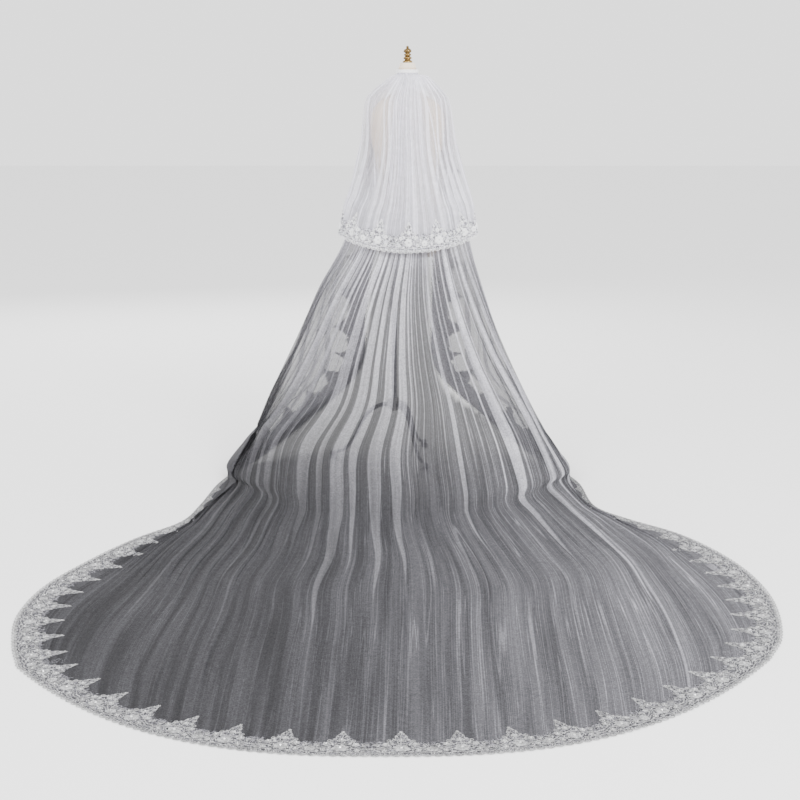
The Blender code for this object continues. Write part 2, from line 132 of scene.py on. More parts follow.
# Finer folds of each tier
# folds is the count of large folds, pleats the count of pressed folds on them, steps the rows between
# two sections, band the lace's depth, lace_from the section where the lace begins, relief how far a
# pressed fold stands out, and seed sets its own unevenness.
Tier = namedtuple("Tier", "sections folds pleats steps band lace_from relief seed")
LONG_TIER = Tier(LONG_SECTIONS + TRAIN_ROWS, 27, 44, 7, 0.140, 4, 0.0034, 5)
SHORT_TIER = Tier(SHORT_SECTIONS, 20, 30, 8, 0.120, 3, 0.0020, 11)
BAND_COLUMNS = 7
FOLD_RELIEF = 0.55
# How far the folds crowd towards the middle of each hanging section, and how far they spread towards
# the side edges on each train row, where the flare runs out on the floor.
CROWDING = (0.0, 0.05, 0.30, 0.50, 0.42, 0.30, 0.20, 0.12, 0.06, 0.0, 0.0, 0.0)
SPREAD = (1.3, 1.3, 1.3, 1.30, 1.13, 1.02, 0.99, 1.02, 1.11)
# Between these two sections the folds run straight out over the foot of the flare, seen from above.
FLARE_TOP, FLARE_END = 9, 15
# The side lace is turned under where the flare meets the floor: share of its depth that shows, by row.
TUCK_ROWS = (10.3, 11.3, 12.0, 13.6, 14.6, 15.6)
TUCK_SHARES = (1.0, 0.50, 0.22, 0.22, 0.60, 1.0)
# Below the waist the back of the flare is one layer over its own shade, and that shade is painted: inside
# this panel the net covers almost fully, so its dark grey stands for the shade. Half widths of that panel on
# the left and on the right by height.
SHADE_PANEL_HEIGHTS = (0.0, 0.04, 0.09, 0.17, 0.25, 0.31, 0.36, 0.49, 0.60, 0.75, 0.95, 1.05)
SHADE_PANEL_LEFT = (0.95, 0.75, 0.63, 0.51, 0.42, 0.34, 0.285, 0.18, 0.16, 0.145, 0.10, 0.0)
SHADE_PANEL_RIGHT = (0.95, 0.72, 0.57, 0.45, 0.35, 0.24, 0.165, 0.115, 0.11, 0.11, 0.09, 0.0)
# The flare's sides stand up from the floor near the lace: height of the rise by row.
RISE_ROWS = (9.6, 10.6, 11.6, 12.5, 13.4, 14.6, 16.0)
RISE_HEIGHTS = (0.0, 0.010, 0.025, 0.030, 0.025, 0.010, 0.0)

# What the cloth looks like by section: gap is the grey of a single layer, partly the net's own grey and
# partly painted shade for what lies in shade behind it; fold of a pressed fold, lighter partly as doubled net
# and partly as painted light; cover how closely a single layer covers what lies behind it.
Tone = namedtuple("Tone", "row gap fold cover")
LONG_TONES = (
    Tone(0, 0.84, 0.88, 0.95),
    Tone(2, 0.80, 0.88, 0.70),
    Tone(3, 0.78, 0.88, 0.42),
    Tone(5, 0.66, 0.80, 0.46),
    Tone(5.8, 0.36, 0.66, 0.52),
    Tone(6.4, 0.13, 0.52, 0.56),
    Tone(7, 0.070, 0.40, 0.56),
    Tone(8, 0.042, 0.26, 0.54),
    Tone(9, 0.034, 0.185, 0.56),
    Tone(10, 0.032, 0.140, 0.64),
    Tone(11, 0.036, 0.115, 0.84),
    Tone(12, 0.039, 0.100, 0.96),
    Tone(13.5, 0.041, 0.094, 0.985),
    Tone(16, 0.042, 0.090, 0.99),
    Tone(20, 0.042, 0.086, 0.99),
)
SHORT_TONES = (
    Tone(0, 0.86, 0.90, 0.95),
    Tone(2, 0.80, 0.90, 0.50),
    Tone(3, 0.76, 0.90, 0.34),
    Tone(5, 0.70, 0.88, 0.48),
    Tone(7, 0.60, 0.84, 0.62),
)
# The grey between the threads of the lace, in its dark rows partly painted shade like a single layer's: rows,
# and the grey at each.
LONG_GROUND = ((4, 9.5, 11.0, 20), (0.60, 0.52, 0.036, 0.030))
SHORT_GROUND = ((0, 8), (0.13, 0.13))
# The front panels are pale all the way down; over the shoulders the net is stretched and clear.
FRONT_GAP, FRONT_FOLD = 0.46, 0.58
CLEAR_ROWS = (2.1, 2.8, 4.0, 5.2)


# Cloth surfaces
def row_curve(section):
    """Points along a section, from the left edge to the right edge, and how far each is along it."""
    if isinstance(section, TrainRow):
        share = np.linspace(-1, 1, ROW_SAMPLES)
        fall = np.abs(share) ** TRAIN_BEND
        reach = np.where(share < 0, TRAIN_CENTRE - section.left, section.right - TRAIN_CENTRE)
        edge_back = np.where(share < 0, section.left_back, section.right_back)
        back = section.back + (edge_back - section.back) * fall
        points = np.column_stack([TRAIN_CENTRE + reach * share, back, np.zeros(ROW_SAMPLES)])
    else:
        angle = np.radians(np.linspace(-section.turn, section.turn, ROW_SAMPLES))
        across, along = np.sin(angle), np.cos(angle)
        depth = np.where(along > 0, section.back, section.front)
        z_end = np.where(along > 0, section.z_back, section.z_front)
        height = section.z_side * across**2 + z_end * along**2
        points = np.column_stack(
            [section.centre + section.side * across, section.behind + depth * along, height]
        )
    steps = np.linalg.norm(np.diff(points, axis=0), axis=1)
    return points, np.concatenate([[0], np.cumsum(steps)])


def large_folds(count):
    """Heights of the large folds at their valleys, ridges and slopes, as shares of the swell."""
    heights = []
    for fold in range(count):
        uneven = 1 - FOLD_UNEVENNESS * (0.5 + 0.5 * math.sin(FOLD_RHYTHM * fold))
        soft = EDGE_SOFTENING if fold in (0, count - 1) else 1.0
        heights += [height * uneven * soft for height in FOLD_SHAPE]
    heights[0] = 0.0
    return np.array(heights + [0.0])


def eased(values, places):
    """Values read at any place between their indices, with a soft turn at each index."""
    low = np.clip(np.floor(places).astype(int), 0, len(values) - 2)
    share = np.clip(places - low, 0, 1)
    share = 0.5 * share + 0.5 * (0.5 - 0.5 * np.cos(math.pi * share))
    return values[low] * (1 - share) + values[low + 1] * share


PressedFold = namedtuple("PressedFold", "start cell middle width ends phase strength")


def pressed_folds(tier, rng):
    """Uneven pressed folds: start and cell are shares of the cloth's width, middle and width of the cell."""
    folds = []
    sizes = [
        rng.uniform(0.45, 1.0) if rng.random() < 0.45 else rng.uniform(0.9, 1.7)
        for _ in range(tier.pleats)
    ]
    start = 0.0
    for size in sizes:
        cell = size / sum(sizes)
        main = size > 0.95
        width = rng.uniform(0.30, 0.70) if main else rng.uniform(0.08, 0.40)
        ends = rng.uniform(12.0, 17.0) if main else rng.uniform(9.0, 13.5)
        middle = 0.5 + rng.uniform(-0.10, 0.10)
        folds.append(
            PressedFold(start, cell, middle, width, ends, rng.uniform(0, 6.28), rng.uniform(0.5, 1.0))
        )
        start += cell
    return folds


def column_places(folds, row):
    """Column places in the cloth's inner width at a row, with the height and nearness of its folds."""
    places, raised, inside, painted_highlights = [], [], [], []
    for start, size, middle, width, ends, phase, strength in folds:
        taper = min(1.0, max(0.02, (ends - row) / 5.0))
        sway = 0.06 * math.sin(phase + row * 0.7) * min(1.0, max(0.0, (row - 10) / 5))
        half = 0.5 * width * taper
        at = middle + sway
        low, high, lip = at - half, at + half, 0.03
        cell = [0, low / 2, low - lip, low, low + half / 2, at]
        cell += [high - half / 2, high, high + lip, (high + 1) / 2]
        places += [start + place * size for place in cell]
        raised += [height * strength for height in (0, 0, 0, 1, 1.08, 1.12, 1.08, 1, 0, 0)]
        edge = (-low, -low / 2, -lip, 0, half / 2, half, half / 2, 0, -lip, (high - 1) / 2)
        inside += [value * size for value in edge]
        # Strength of the painted highlight along this fold's edges, fading out below where the fold ends.
        painted_highlights += [min(1.0, max(0.20 * strength, (ends + 1.5 - row) / 4))] * len(cell)
    ended = (places + [1.0], raised + [0.0], inside + [inside[0]], painted_highlights + [painted_highlights[-1]])
    return [np.array(values) for values in ended]


FLOW_GRID = np.linspace(0, 1, 241)


def flow(tier, k, walked):
    """Where the folds lie along a section's inner width, so that they fan out from the heading."""
    middle = 2 * FLOW_GRID - 1
    if isinstance(tier.sections[k], TrainRow):
        spread = SPREAD[k - len(LONG_SECTIONS)]
        reach = np.sign(middle) * np.sin(math.pi / 2 * (1 - (1 - np.abs(middle)) ** spread))
        return np.interp(reach, np.linspace(-1, 1, ROW_SAMPLES), walked) / walked[-1]
    crowd = CROWDING[k]
    return 0.5 + 0.5 * middle * (1 - crowd + crowd * np.abs(middle))


def placed_on(curve, band, share):
    """Points on a section's curve at shares of its width inside the bands."""
    points, walked = curve
    places = band + (walked[-1] - 2 * band) * share
    return np.column_stack([np.interp(places, walked, points[:, axis]) for axis in range(3)])


def straight_flow(curves, bands, flows):
    """Folds that run straight, seen from above, from the flare's top section to its end on the floor."""
    upper = placed_on(curves[FLARE_TOP], bands[FLARE_TOP], flows[FLARE_TOP])
    lower = placed_on(curves[FLARE_END], bands[FLARE_END], flows[FLARE_END])
    for k in range(FLARE_TOP + 1, FLARE_END):
        points, walked = curves[k]
        width = walked[-1] - 2 * bands[k]
        shares = (walked - bands[k]) / width
        found = []
        for start, end in zip(upper, lower):
            run = end - start
            off = (points[:, 0] - start[0]) * run[1] - (points[:, 1] - start[1]) * run[0]
            crossed = np.flatnonzero(off[:-1] * off[1:] <= 0)
            if len(crossed) == 0:
                found.append(np.nan)
                continue
            j = max(crossed, key=lambda index: points[index, 1])
            part = off[j] / (off[j] - off[j + 1]) if off[j] != off[j + 1] else 0.0
            found.append(shares[j] * (1 - part) + shares[j + 1] * part)
        found = np.array(found)
        found[0], found[-1] = 0.0, 1.0
        known = ~np.isnan(found)
        found = np.interp(FLOW_GRID, FLOW_GRID[known], np.clip(found[known], 0, 1))
        flows[k] = smoothed(np.maximum.accumulate(found)[:, None], 4)[:, 0]
        flows[k] = (flows[k] - flows[k][0]) / (flows[k][-1] - flows[k][0])


def smoothed(values, reach):
    """A list of vectors, each averaged with its neighbours."""
    padded = np.concatenate(
        [np.repeat(values[:1], reach, axis=0), values, np.repeat(values[-1:], reach, axis=0)]
    )
    total = np.cumsum(np.concatenate([np.zeros((1, values.shape[1])), padded]), axis=0)
    return (total[2 * reach + 1:] - total[:-2 * reach - 1]) / (2 * reach + 1)


def side_rise(guide, rows):
    """How far the flare's sides stand up from the floor, a little way in from the lace."""
    steps = np.linalg.norm(np.diff(guide, axis=0), axis=2)
    walked = np.concatenate([np.zeros((1, guide.shape[1])), np.cumsum(steps, axis=0)])
    inward = np.minimum(walked, walked[-1:] - walked)
    near, far = np.clip(inward / 0.16, 0, 1), np.clip((0.80 - inward) / 0.62, 0, 1)
    hump = near * near * (3 - 2 * near) * far * far * (3 - 2 * far)
    return hump * np.interp(rows, RISE_ROWS, RISE_HEIGHTS)[None, :]


def cloth_surface(tier, tones):
    """Every point of a tier's cloth by column and row, with its texture place and its looks."""
    rng = random.Random(tier.seed)
    folds = pressed_folds(tier, rng)
    curves = [row_curve(section) for section in tier.sections]
    last = len(curves) - 1
    bands = [
        min(tier.band, BAND_MOST * walked[-1]) if k > tier.lace_from else 0.0
        for k, (_, walked) in enumerate(curves)
    ]
    if tier is LONG_TIER:
        bands = [band * np.interp(k, TUCK_ROWS, TUCK_SHARES) for k, band in enumerate(bands)]
    flows = [flow(tier, k, walked) for k, (_, walked) in enumerate(curves)]
    if tier is LONG_TIER:
        straight_flow(curves, bands, flows)
    heights = large_folds(tier.folds)
    band_share = np.linspace(0, 1, BAND_COLUMNS + 1)[:-1]
    rows = np.linspace(0, last, last * tier.steps + 1)
    swells = [section.swell for section in tier.sections]
    guide, shape, inner, widths, painted_highlight_rows = [], [], [], [], []
    for row in rows:
        share, raised, inside, painted_highlights = column_places(folds, row)
        def on_section(k):
            points, walked = curves[k]
            width = walked[-1] - 2 * bands[k]
            inner = bands[k] + width * np.interp(share, FLOW_GRID, flows[k])
            places = np.concatenate([bands[k] * band_share, inner, walked[-1] - bands[k] * band_share[::-1]])
            return np.column_stack([np.interp(places, walked, points[:, axis]) for axis in range(3)])
        k = min(int(row), last - 1)
        t = row - k
        start, end = on_section(k), on_section(k + 1)
        before = on_section(k - 1) if k > 0 else 2 * start - end
        after = on_section(k + 2) if k + 2 <= last else 2 * end - start
        square = (2 * before - 5 * start + 4 * end - after) * t**2
        bend = square + (3 * start - before - 3 * end + after) * t**3
        curved = start + ((end - before) * t + bend) / 2
        slack = 0.35 if k < 3 else 1.0
        guide.append(curved * slack + (start * (1 - t) + end * t) * (1 - slack))
        width = np.interp(row, range(last + 1), [walked[-1] for _, walked in curves])
        swell = np.interp(row, range(last + 1), swells)
        small = tier.relief * min(1.0, width / 1.6)
        flat = np.zeros(BAND_COLUMNS)
        relief = eased(heights, share * tier.folds * len(FOLD_SHAPE)) * swell * FOLD_RELIEF + raised * small
        shape.append(np.concatenate([flat, relief, flat]))
        inner.append(np.concatenate([flat - 0.02, inside * width, flat - 0.02]))
        widths.append(np.concatenate([band_share * 0, share, band_share * 0 + 1]))
        painted_highlight_rows.append(np.concatenate([flat, painted_highlights, flat]))
    guide = np.stack(guide, axis=1)
    shape, inside, share = np.stack(shape, axis=1), np.stack(inner, axis=1), np.stack(widths, axis=1)
    across, down = np.gradient(guide, axis=0), np.gradient(guide, axis=1)
    normal = np.cross(down, across)
    normal[0], normal[-1] = normal[1], normal[-2]
    normal /= np.maximum(np.linalg.norm(normal, axis=2, keepdims=True), 1e-9)
    down_steps = np.linalg.norm(np.diff(guide, axis=1), axis=2).mean(axis=0)
    length = np.concatenate([[0], np.cumsum(down_steps)])
    points = guide + normal * (shape + wrinkles(guide, share, length, rows, tier))[:, :, None]
    if tier is LONG_TIER:
        points[:, :, 2] += side_rise(guide, rows)
    points[:, :, 2] = np.maximum(points[:, :, 2], FLOOR_GAP)
    placed = points.copy()
    placed[:, :, 0] += SIDE_SHIFT
    placed[:, :, 1] = FORM_AXIS_Y - points[:, :, 1]
    texture = np.stack([share * 4, np.broadcast_to(length, share.shape)], axis=2)
    inside -= 0.006 * clearness(rows, share)
    looks = {
        "pleat": inside, "painted_highlights": np.stack(painted_highlight_rows, axis=1), **cloth_looks(tier, tones, rows, share, points)
    }
    return placed, texture, looks


def wrinkles(guide, share, length, rows, tier):
    """Small uneven creases that run down the cloth, deeper where it lies on the floor."""
    depth = np.interp(rows, (0, 3, 8, 12, 17, 20), (0, 0.0008, 0.0035, 0.0050, 0.0055, 0.0015))
    result = np.zeros(share.shape)
    for column in range(share.shape[0]):
        for row in range(share.shape[1]):
            if depth[row] < 0.0005:
                continue
            u, v = share[column, row] * 40, length[row] * 1.6
            value = noise.noise(Vector((u, v, tier.seed))) + 0.5 * noise.noise(Vector((u * 2.3, v * 2, 7)))
            side = 1.0 + 2.0 * max(0.0, guide[column, row, 0])
            edge = min(1.0, 8 * min(share[column, row], 1 - share[column, row]))
            result[column, row] = value * depth[row] * side * edge
    return result


def clearness(rows, share):
    """Where the net is stretched over the shoulders, with no pressed folds."""
    down = np.interp(rows, CLEAR_ROWS, (0, 1, 0.9, 0))[None, :]
    middle = np.abs(2 * share - 1)
    return down * np.clip((middle - 0.26) / 0.16, 0, 1) * np.clip((0.86 - middle) / 0.16, 0, 1)


def cloth_looks(tier, tones, rows, share, points):
    """How light each layer is and how closely it covers, for every point of the cloth."""
    by_row = {name: np.interp(rows, [tone.row for tone in tones], [getattr(tone, name) for tone in tones])
              for name in ("gap", "fold", "cover")}
    gap, fold, cover = (
        np.broadcast_to(by_row[name], share.shape).copy() for name in ("gap", "fold", "cover")
    )
    if tier is LONG_TIER:
        # Painted light and shade: below the waist the single layers and pressed folds are lighter towards the
        # right and darker towards the left, as light falling from the right side would make them.
        lower = np.clip((rows - 6.5) / 4, 0, 1)[None, :]
        side = np.clip((points[:, :, 0] + 0.20) / 0.9, -0.2, 1.0)
        gap *= 1 + lower * side * 1.10
        fold *= 1 + lower * side * 2.1
        front = np.clip((0.03 - points[:, :, 1]) / 0.06, 0, 1) * np.clip(12 - rows, 0, 1)[None, :]
        gap = np.where(gap < FRONT_GAP, gap + (FRONT_GAP - gap) * front, gap)
        fold = np.where(fold < FRONT_FOLD, fold + (FRONT_FOLD - fold) * front, fold)
        # Painted shade: inside the panel the net's cover is raised to at least 0.93, so its dark grey shows
        # as the shade inside the flare.
        left, right = (
            np.interp(points[:, :, 2], SHADE_PANEL_HEIGHTS, widths) for widths in (SHADE_PANEL_LEFT, SHADE_PANEL_RIGHT)
        )
        inward = np.minimum(points[:, :, 0] + left, right - points[:, :, 0])
        behind = np.clip((points[:, :, 1] - 0.02) / 0.04, 0, 1)
        painted_shade_panel = np.clip(inward / 0.02, 0, 1) * behind
        cover += (np.maximum(cover, 0.93) - cover) * painted_shade_panel
    clear = clearness(rows, share)
    ground = np.broadcast_to(
        np.interp(rows, *(LONG_GROUND if tier is LONG_TIER else SHORT_GROUND)), share.shape
    )
    return {"gap": gap, "fold": fold, "cover": cover * (1 - 0.72 * clear), "ground": ground}


def make_mesh(name, bm, smooth=True):
    """A shown object from a bmesh, at the origin, that rides on the part's one body."""
    mesh = bpy.data.meshes.new(name)
    bm.to_mesh(mesh)
    bm.free()
    if smooth:
        mesh.shade_smooth()
    obj = bpy.data.objects.new(name, mesh)
    bpy.context.scene.collection.objects.link(obj)
    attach(obj, BODY)
    return obj


def cloth_object(name, surface, along_edge, material):
    """The sheer cloth of one tier as an open sheet with its texture places and looks."""
    points, texture, looks = surface
    columns, rows = points.shape[0] - 1, points.shape[1] - 1
    bm = bmesh.new()
    bmesh.ops.create_grid(bm, x_segments=columns, y_segments=rows, size=1.0)
    places = bm.loops.layers.uv.new("cloth")
    edging = bm.loops.layers.uv.new("edge")
    layers = {key: bm.verts.layers.float.new(key) for key in looks}
    for vert in bm.verts:
        column, row = round((vert.co.x + 1) / 2 * columns), round((1 - vert.co.y) / 2 * rows)
        vert.co = points[column, row]
        for key, layer in layers.items():
            vert[layer] = looks[key][column, row]
        for loop in vert.link_loops:
            loop[places].uv = texture[column, row]
            loop[edging].uv = along_edge[column, row]
    obj = make_mesh(name, bm)
    obj.data.materials.append(material)
    return obj


# Shader helpers
def new_group(name, inputs, outputs):
    """A shader node group with named sockets: inputs give a default each, outputs their kind."""
    group = bpy.data.node_groups.new(name, "ShaderNodeTree")
    for label, default in inputs:
        kind = "NodeSocketVector" if default is None else "NodeSocketFloat"
        socket = group.interface.new_socket(name=label, in_out="INPUT", socket_type=kind)
        if default is not None:
            socket.default_value = default
    for label, kind in outputs:
        group.interface.new_socket(name=label, in_out="OUTPUT", socket_type=kind)
    return group, group.nodes.new("NodeGroupInput"), group.nodes.new("NodeGroupOutput")


def node(tree, kind, **settings):
    """A node with its settings; a setting whose name is a socket's sets or links that socket."""
    made = tree.nodes.new(kind)
    for key, value in settings.items():
        if hasattr(made, key) and key not in made.inputs:
            setattr(made, key, value)
    for key, value in settings.items():
        if key in made.inputs:
            feed(tree, made.inputs[key], value)
    return made


def feed(tree, socket, value):
    """Sets a socket to a value, or links it to another socket."""
    if isinstance(value, bpy.types.NodeSocket):
        tree.links.new(value, socket)
    else:
        socket.default_value = value


def maths(tree, operation, *values):
    """A maths node's result."""
    made = tree.nodes.new("ShaderNodeMath")
    made.operation = operation
    for index, value in enumerate(values):
        feed(tree, made.inputs[index], value)
    return made.outputs[0]


def ranged(tree, value, low, high, to_low=0.0, to_high=1.0):
    """A value read between two limits, eased."""
    made = tree.nodes.new("ShaderNodeMapRange")
    made.interpolation_type = "SMOOTHSTEP"
    for index, item in enumerate((value, low, high, to_low, to_high)):
        feed(tree, made.inputs[index], item)
    return made.outputs[0]


def stretched(tree, vector, across, along):
    """A texture place stretched along the cloth."""
    made = tree.nodes.new("ShaderNodeMapping")
    feed(tree, made.inputs["Vector"], vector)
    made.inputs["Scale"].default_value = (across, along, 1.0)
    return made.outputs[0]


def net_mesh_group():
    """Fine net: cell walls of the mesh, as a mask and a height."""
    group, given, made = new_group(
        "net_mesh", (("Place", None), ("Cells per metre", 700.0)),
        (("Threads", "NodeSocketFloat"), ("Cloudy", "NodeSocketFloat"), ("Weave", "NodeSocketFloat"))
    )
    cells = node(
        group, "ShaderNodeTexVoronoi", feature="DISTANCE_TO_EDGE", Vector=given.outputs["Place"],
        Scale=given.outputs["Cells per metre"]
    )
    feed(group, made.inputs["Threads"], ranged(group, cells.outputs["Distance"], 0.04, 0.22, 1.0, 0.0))
    cloud = node(
        group, "ShaderNodeTexNoise", Vector=given.outputs["Place"], Scale=46.0, Detail=4.0, Roughness=0.7
    )
    feed(group, made.inputs["Cloudy"], cloud.outputs["Fac"])
    weave = node(
        group, "ShaderNodeTexNoise", Vector=given.outputs["Place"], Scale=190.0, Detail=2.0, Roughness=0.8
    )
    feed(group, made.inputs["Weave"], weave.outputs["Fac"])
    return group


def crease_group():
    """Thin creases and soft rolls that run down the cloth: the creases are painted highlight lines, the rolls
    give a bump and painted shade.
    """
    group, given, made = new_group(
        "creases", (("Place", None),), (("Crease highlights", "NodeSocketFloat"), ("Rolls", "NodeSocketFloat"))
    )
    crease_highlights = None
    for across, along, width in ((26.0, 0.20, 0.010), (57.0, 0.30, 0.016), (11.0, 0.14, 0.006)):
        pattern = node(
            group, "ShaderNodeTexNoise", Vector=stretched(group, given.outputs["Place"], across, along),
            Scale=1.0, Detail=1.0, Roughness=0.4
        )
        off = maths(group, "ABSOLUTE", maths(group, "SUBTRACT", pattern.outputs["Fac"], 0.5))
        line = ranged(group, off, 0.0, width, 1.0, 0.0)
        crease_highlights = line if crease_highlights is None else maths(group, "MAXIMUM", crease_highlights, line)
    feed(group, made.inputs["Crease highlights"], crease_highlights)
    rolls = node(
        group, "ShaderNodeTexNoise", Vector=stretched(group, given.outputs["Place"], 17.0, 0.7), Scale=1.0,
        Detail=3.0, Roughness=0.6
    )
    feed(group, made.inputs["Rolls"], rolls.outputs["Fac"])
    return group


def lace_ground_group():
    """Thread bars and small filled spots between the flowers of the lace, and where the lace reaches."""
    inputs = (("Place", None), ("Edge", None))
    outputs = (("Threads", "NodeSocketFloat"), ("Reach", "NodeSocketFloat"))
    group, given, made = new_group("lace_ground", inputs, outputs)
    bars = None
    for scale, low, high, strength in ((80.0, 0.02, 0.07, 1.0), (190.0, 0.02, 0.09, 0.5)):
        cells = node(
            group, "ShaderNodeTexVoronoi", feature="DISTANCE_TO_EDGE", Vector=given.outputs["Place"],
            Scale=scale
        )
        bar = maths(
            group, "MULTIPLY", ranged(group, cells.outputs["Distance"], low, high, 1.0, 0.0), strength
        )
        bars = bar if bars is None else maths(group, "MAXIMUM", bars, bar)
    spots = node(group, "ShaderNodeTexNoise", Vector=given.outputs["Place"], Scale=120.0, Detail=2.0)
    feed(
        group, made.inputs["Threads"],
        maths(group, "MAXIMUM", bars, ranged(group, spots.outputs["Fac"], 0.60, 0.65, 0.0, 0.9))
    )
    edge = node(group, "ShaderNodeSeparateXYZ", Vector=given.outputs["Edge"])
    off = maths(group, "ABSOLUTE", maths(group, "SUBTRACT", maths(group, "FRACT", edge.outputs["X"]), 0.5))
    spray = maths(
        group, "MULTIPLY",
        maths(group, "MAXIMUM", maths(group, "SUBTRACT", 1.0, maths(group, "MULTIPLY", off, 4.2)), 0.0),
        0.058
    )
    left = maths(group, "SUBTRACT", maths(group, "ADD", spray, 0.076), edge.outputs["Y"])
    ragged = node(group, "ShaderNodeTexNoise", Vector=given.outputs["Place"], Scale=75.0, Detail=1.0)
    left = maths(
        group, "ADD", left,
        maths(group, "MULTIPLY", maths(group, "SUBTRACT", ragged.outputs["Fac"], 0.5), 0.045)
    )
    feed(group, made.inputs["Reach"], ranged(group, left, -0.001, 0.003))
    return group


NET_MESH = net_mesh_group()
CREASES = crease_group()
LACE_GROUND = lace_ground_group()


def new_material(name, roughness, metallic=0.0):
    """A material with its principled shader."""
    material = bpy.data.materials.new(name)
    material.use_nodes = True
    tree = material.node_tree
    shader = tree.nodes["Principled BSDF"]
    shader.inputs["Roughness"].default_value = roughness
    shader.inputs["Metallic"].default_value = metallic
    return material, tree, shader


def use_group(tree, group, **values):
    """A node group placed in a material."""
    made = tree.nodes.new("ShaderNodeGroup")
    made.node_tree = group
    for key, value in values.items():
        feed(tree, made.inputs[key.replace("_", " ")], value)
    return made


def raised(tree, height, strength, distance):
    """A normal from a height."""
    made = node(tree, "ShaderNodeBump", Height=height, Strength=strength, Distance=distance)
    return made.outputs["Normal"]


def mixed(tree, share, first, second):
    """Two values mixed by a share."""
    made = tree.nodes.new("ShaderNodeMix")
    made.data_type = "FLOAT"
    for index, value in zip((0, 2, 3), (share, first, second)):
        feed(tree, made.inputs[index], value)
    return made.outputs[0]


def attribute(tree, name):
    """A number kept at the cloth's points."""
    made = tree.nodes.new("ShaderNodeAttribute")
    made.attribute_name = name
    return made.outputs["Fac"]


def net_material(name, tint, fold_cover, hole_cover, bars, weave, roll_shade):
    """Sheer net: grey where it is one layer and light where pressed folds double it, both partly painted
    shade and light, with painted highlights along fold edges and creases and painted shade on the soft rolls.
    """
    material, tree, shader = new_material(name, 0.85)
    place = tree.nodes.new("ShaderNodeTexCoord").outputs["Object"]
    cloth = node(tree, "ShaderNodeUVMap", uv_map="cloth").outputs["UV"]
    mesh = use_group(tree, NET_MESH, Place=place)
    creases = use_group(tree, CREASES, Place=cloth)
    pleat = attribute(tree, "pleat")
    doubled = ranged(tree, pleat, -0.0002, 0.0006)
    # Painted highlight: a thin light line along each edge of a pressed fold.
    lip = ranged(tree, maths(tree, "ABSOLUTE", pleat), 0.0, 0.0026, 1.0, 0.0)
    gap, fold = attribute(tree, "gap"), attribute(tree, "fold")
    layer = mixed(tree, doubled, gap, fold)
    # Painted highlights: thin light lines along the creases.
    crease_highlights = maths(tree, "MULTIPLY", creases.outputs["Crease highlights"], 0.42)
    # The painted highlights lighten the tone towards 1.35 times the fold's grey and make the net cover more.
    painted_highlights = maths(
        tree, "MAXIMUM",
        maths(tree, "MULTIPLY", maths(tree, "MULTIPLY", lip, attribute(tree, "painted_highlights")), 0.6), crease_highlights
    )
    tone = mixed(tree, painted_highlights, layer, maths(tree, "MULTIPLY", fold, 1.35))
    # Painted shade and light: the tone follows the soft rolls, darker in their hollows and lighter on their
    # crowns.
    rolls = ranged(tree, creases.outputs["Rolls"], 0.3, 0.7, 1 - roll_shade, 1 + 1.2 * roll_shade)
    cloudy = ranged(tree, mesh.outputs["Cloudy"], 0.3, 0.7, 0.90, 1.12)
    tone = maths(tree, "MULTIPLY", tone, maths(tree, "MULTIPLY", rolls, cloudy))
    tone = maths(tree, "MULTIPLY", tone, ranged(tree, mesh.outputs["Threads"], 0.0, 1.0, 0.90, 1.18))
    tone = maths(
        tree, "MULTIPLY", tone, ranged(tree, mesh.outputs["Weave"], 0.32, 0.68, 1 - weave, 1 + weave)
    )
    edge = node(tree, "ShaderNodeUVMap", uv_map="edge").outputs["UV"]
    ground = use_group(tree, LACE_GROUND, Place=place, Edge=edge)
    threads = mixed(tree, ground.outputs["Threads"], attribute(tree, "ground"), bars)
    tone = mixed(tree, ground.outputs["Reach"], tone, threads)
    colour = tree.nodes.new("ShaderNodeCombineColor")
    for index, share in enumerate(tint):
        feed(tree, colour.inputs[index], maths(tree, "MULTIPLY", tone, share))
    feed(tree, shader.inputs["Base Color"], colour.outputs[0])
    cover = mixed(tree, maths(tree, "MAXIMUM", doubled, painted_highlights), attribute(tree, "cover"), fold_cover)
    lace_cover = mixed(tree, ground.outputs["Threads"], hole_cover, 0.98)
    feed(tree, shader.inputs["Alpha"], mixed(tree, ground.outputs["Reach"], cover, lace_cover))
    height = maths(
        tree, "ADD", creases.outputs["Rolls"], maths(tree, "MULTIPLY", mesh.outputs["Threads"], 0.05)
    )
    feed(tree, shader.inputs["Normal"], raised(tree, height, 0.9, 0.010))
    shader.inputs["Specular IOR Level"].default_value = 0.08
    return material


def lace_material(name, dark, light, patch_shade):
    """Corded lace: white thread with a soft sheen, and painted uneven light and shade as darker patches."""
    material, tree, shader = new_material(name, 0.62)
    place = tree.nodes.new("ShaderNodeTexCoord").outputs["Object"]
    thread = node(tree, "ShaderNodeTexNoise", Vector=place, Scale=900.0, Detail=2.0)
    shade_patch = node(tree, "ShaderNodeTexNoise", Vector=place, Scale=70.0, Detail=3.0, Roughness=0.7)
    tone = maths(
        tree, "MULTIPLY", ranged(tree, thread.outputs["Fac"], 0.35, 0.65, dark, light),
        ranged(tree, shade_patch.outputs["Fac"], 0.3, 0.7, patch_shade, 1.0)
    )
    colour = tree.nodes.new("ShaderNodeCombineColor")
    for index, share in enumerate((0.985, 0.985, 1.0)):
        feed(tree, colour.inputs[index], maths(tree, "MULTIPLY", tone, share))
    feed(tree, shader.inputs["Base Color"], colour.outputs[0])
    feed(tree, shader.inputs["Normal"], raised(tree, thread.outputs["Fac"], 0.5, 0.0006))
    shader.inputs["Sheen Weight"].default_value = 0.2
    return material


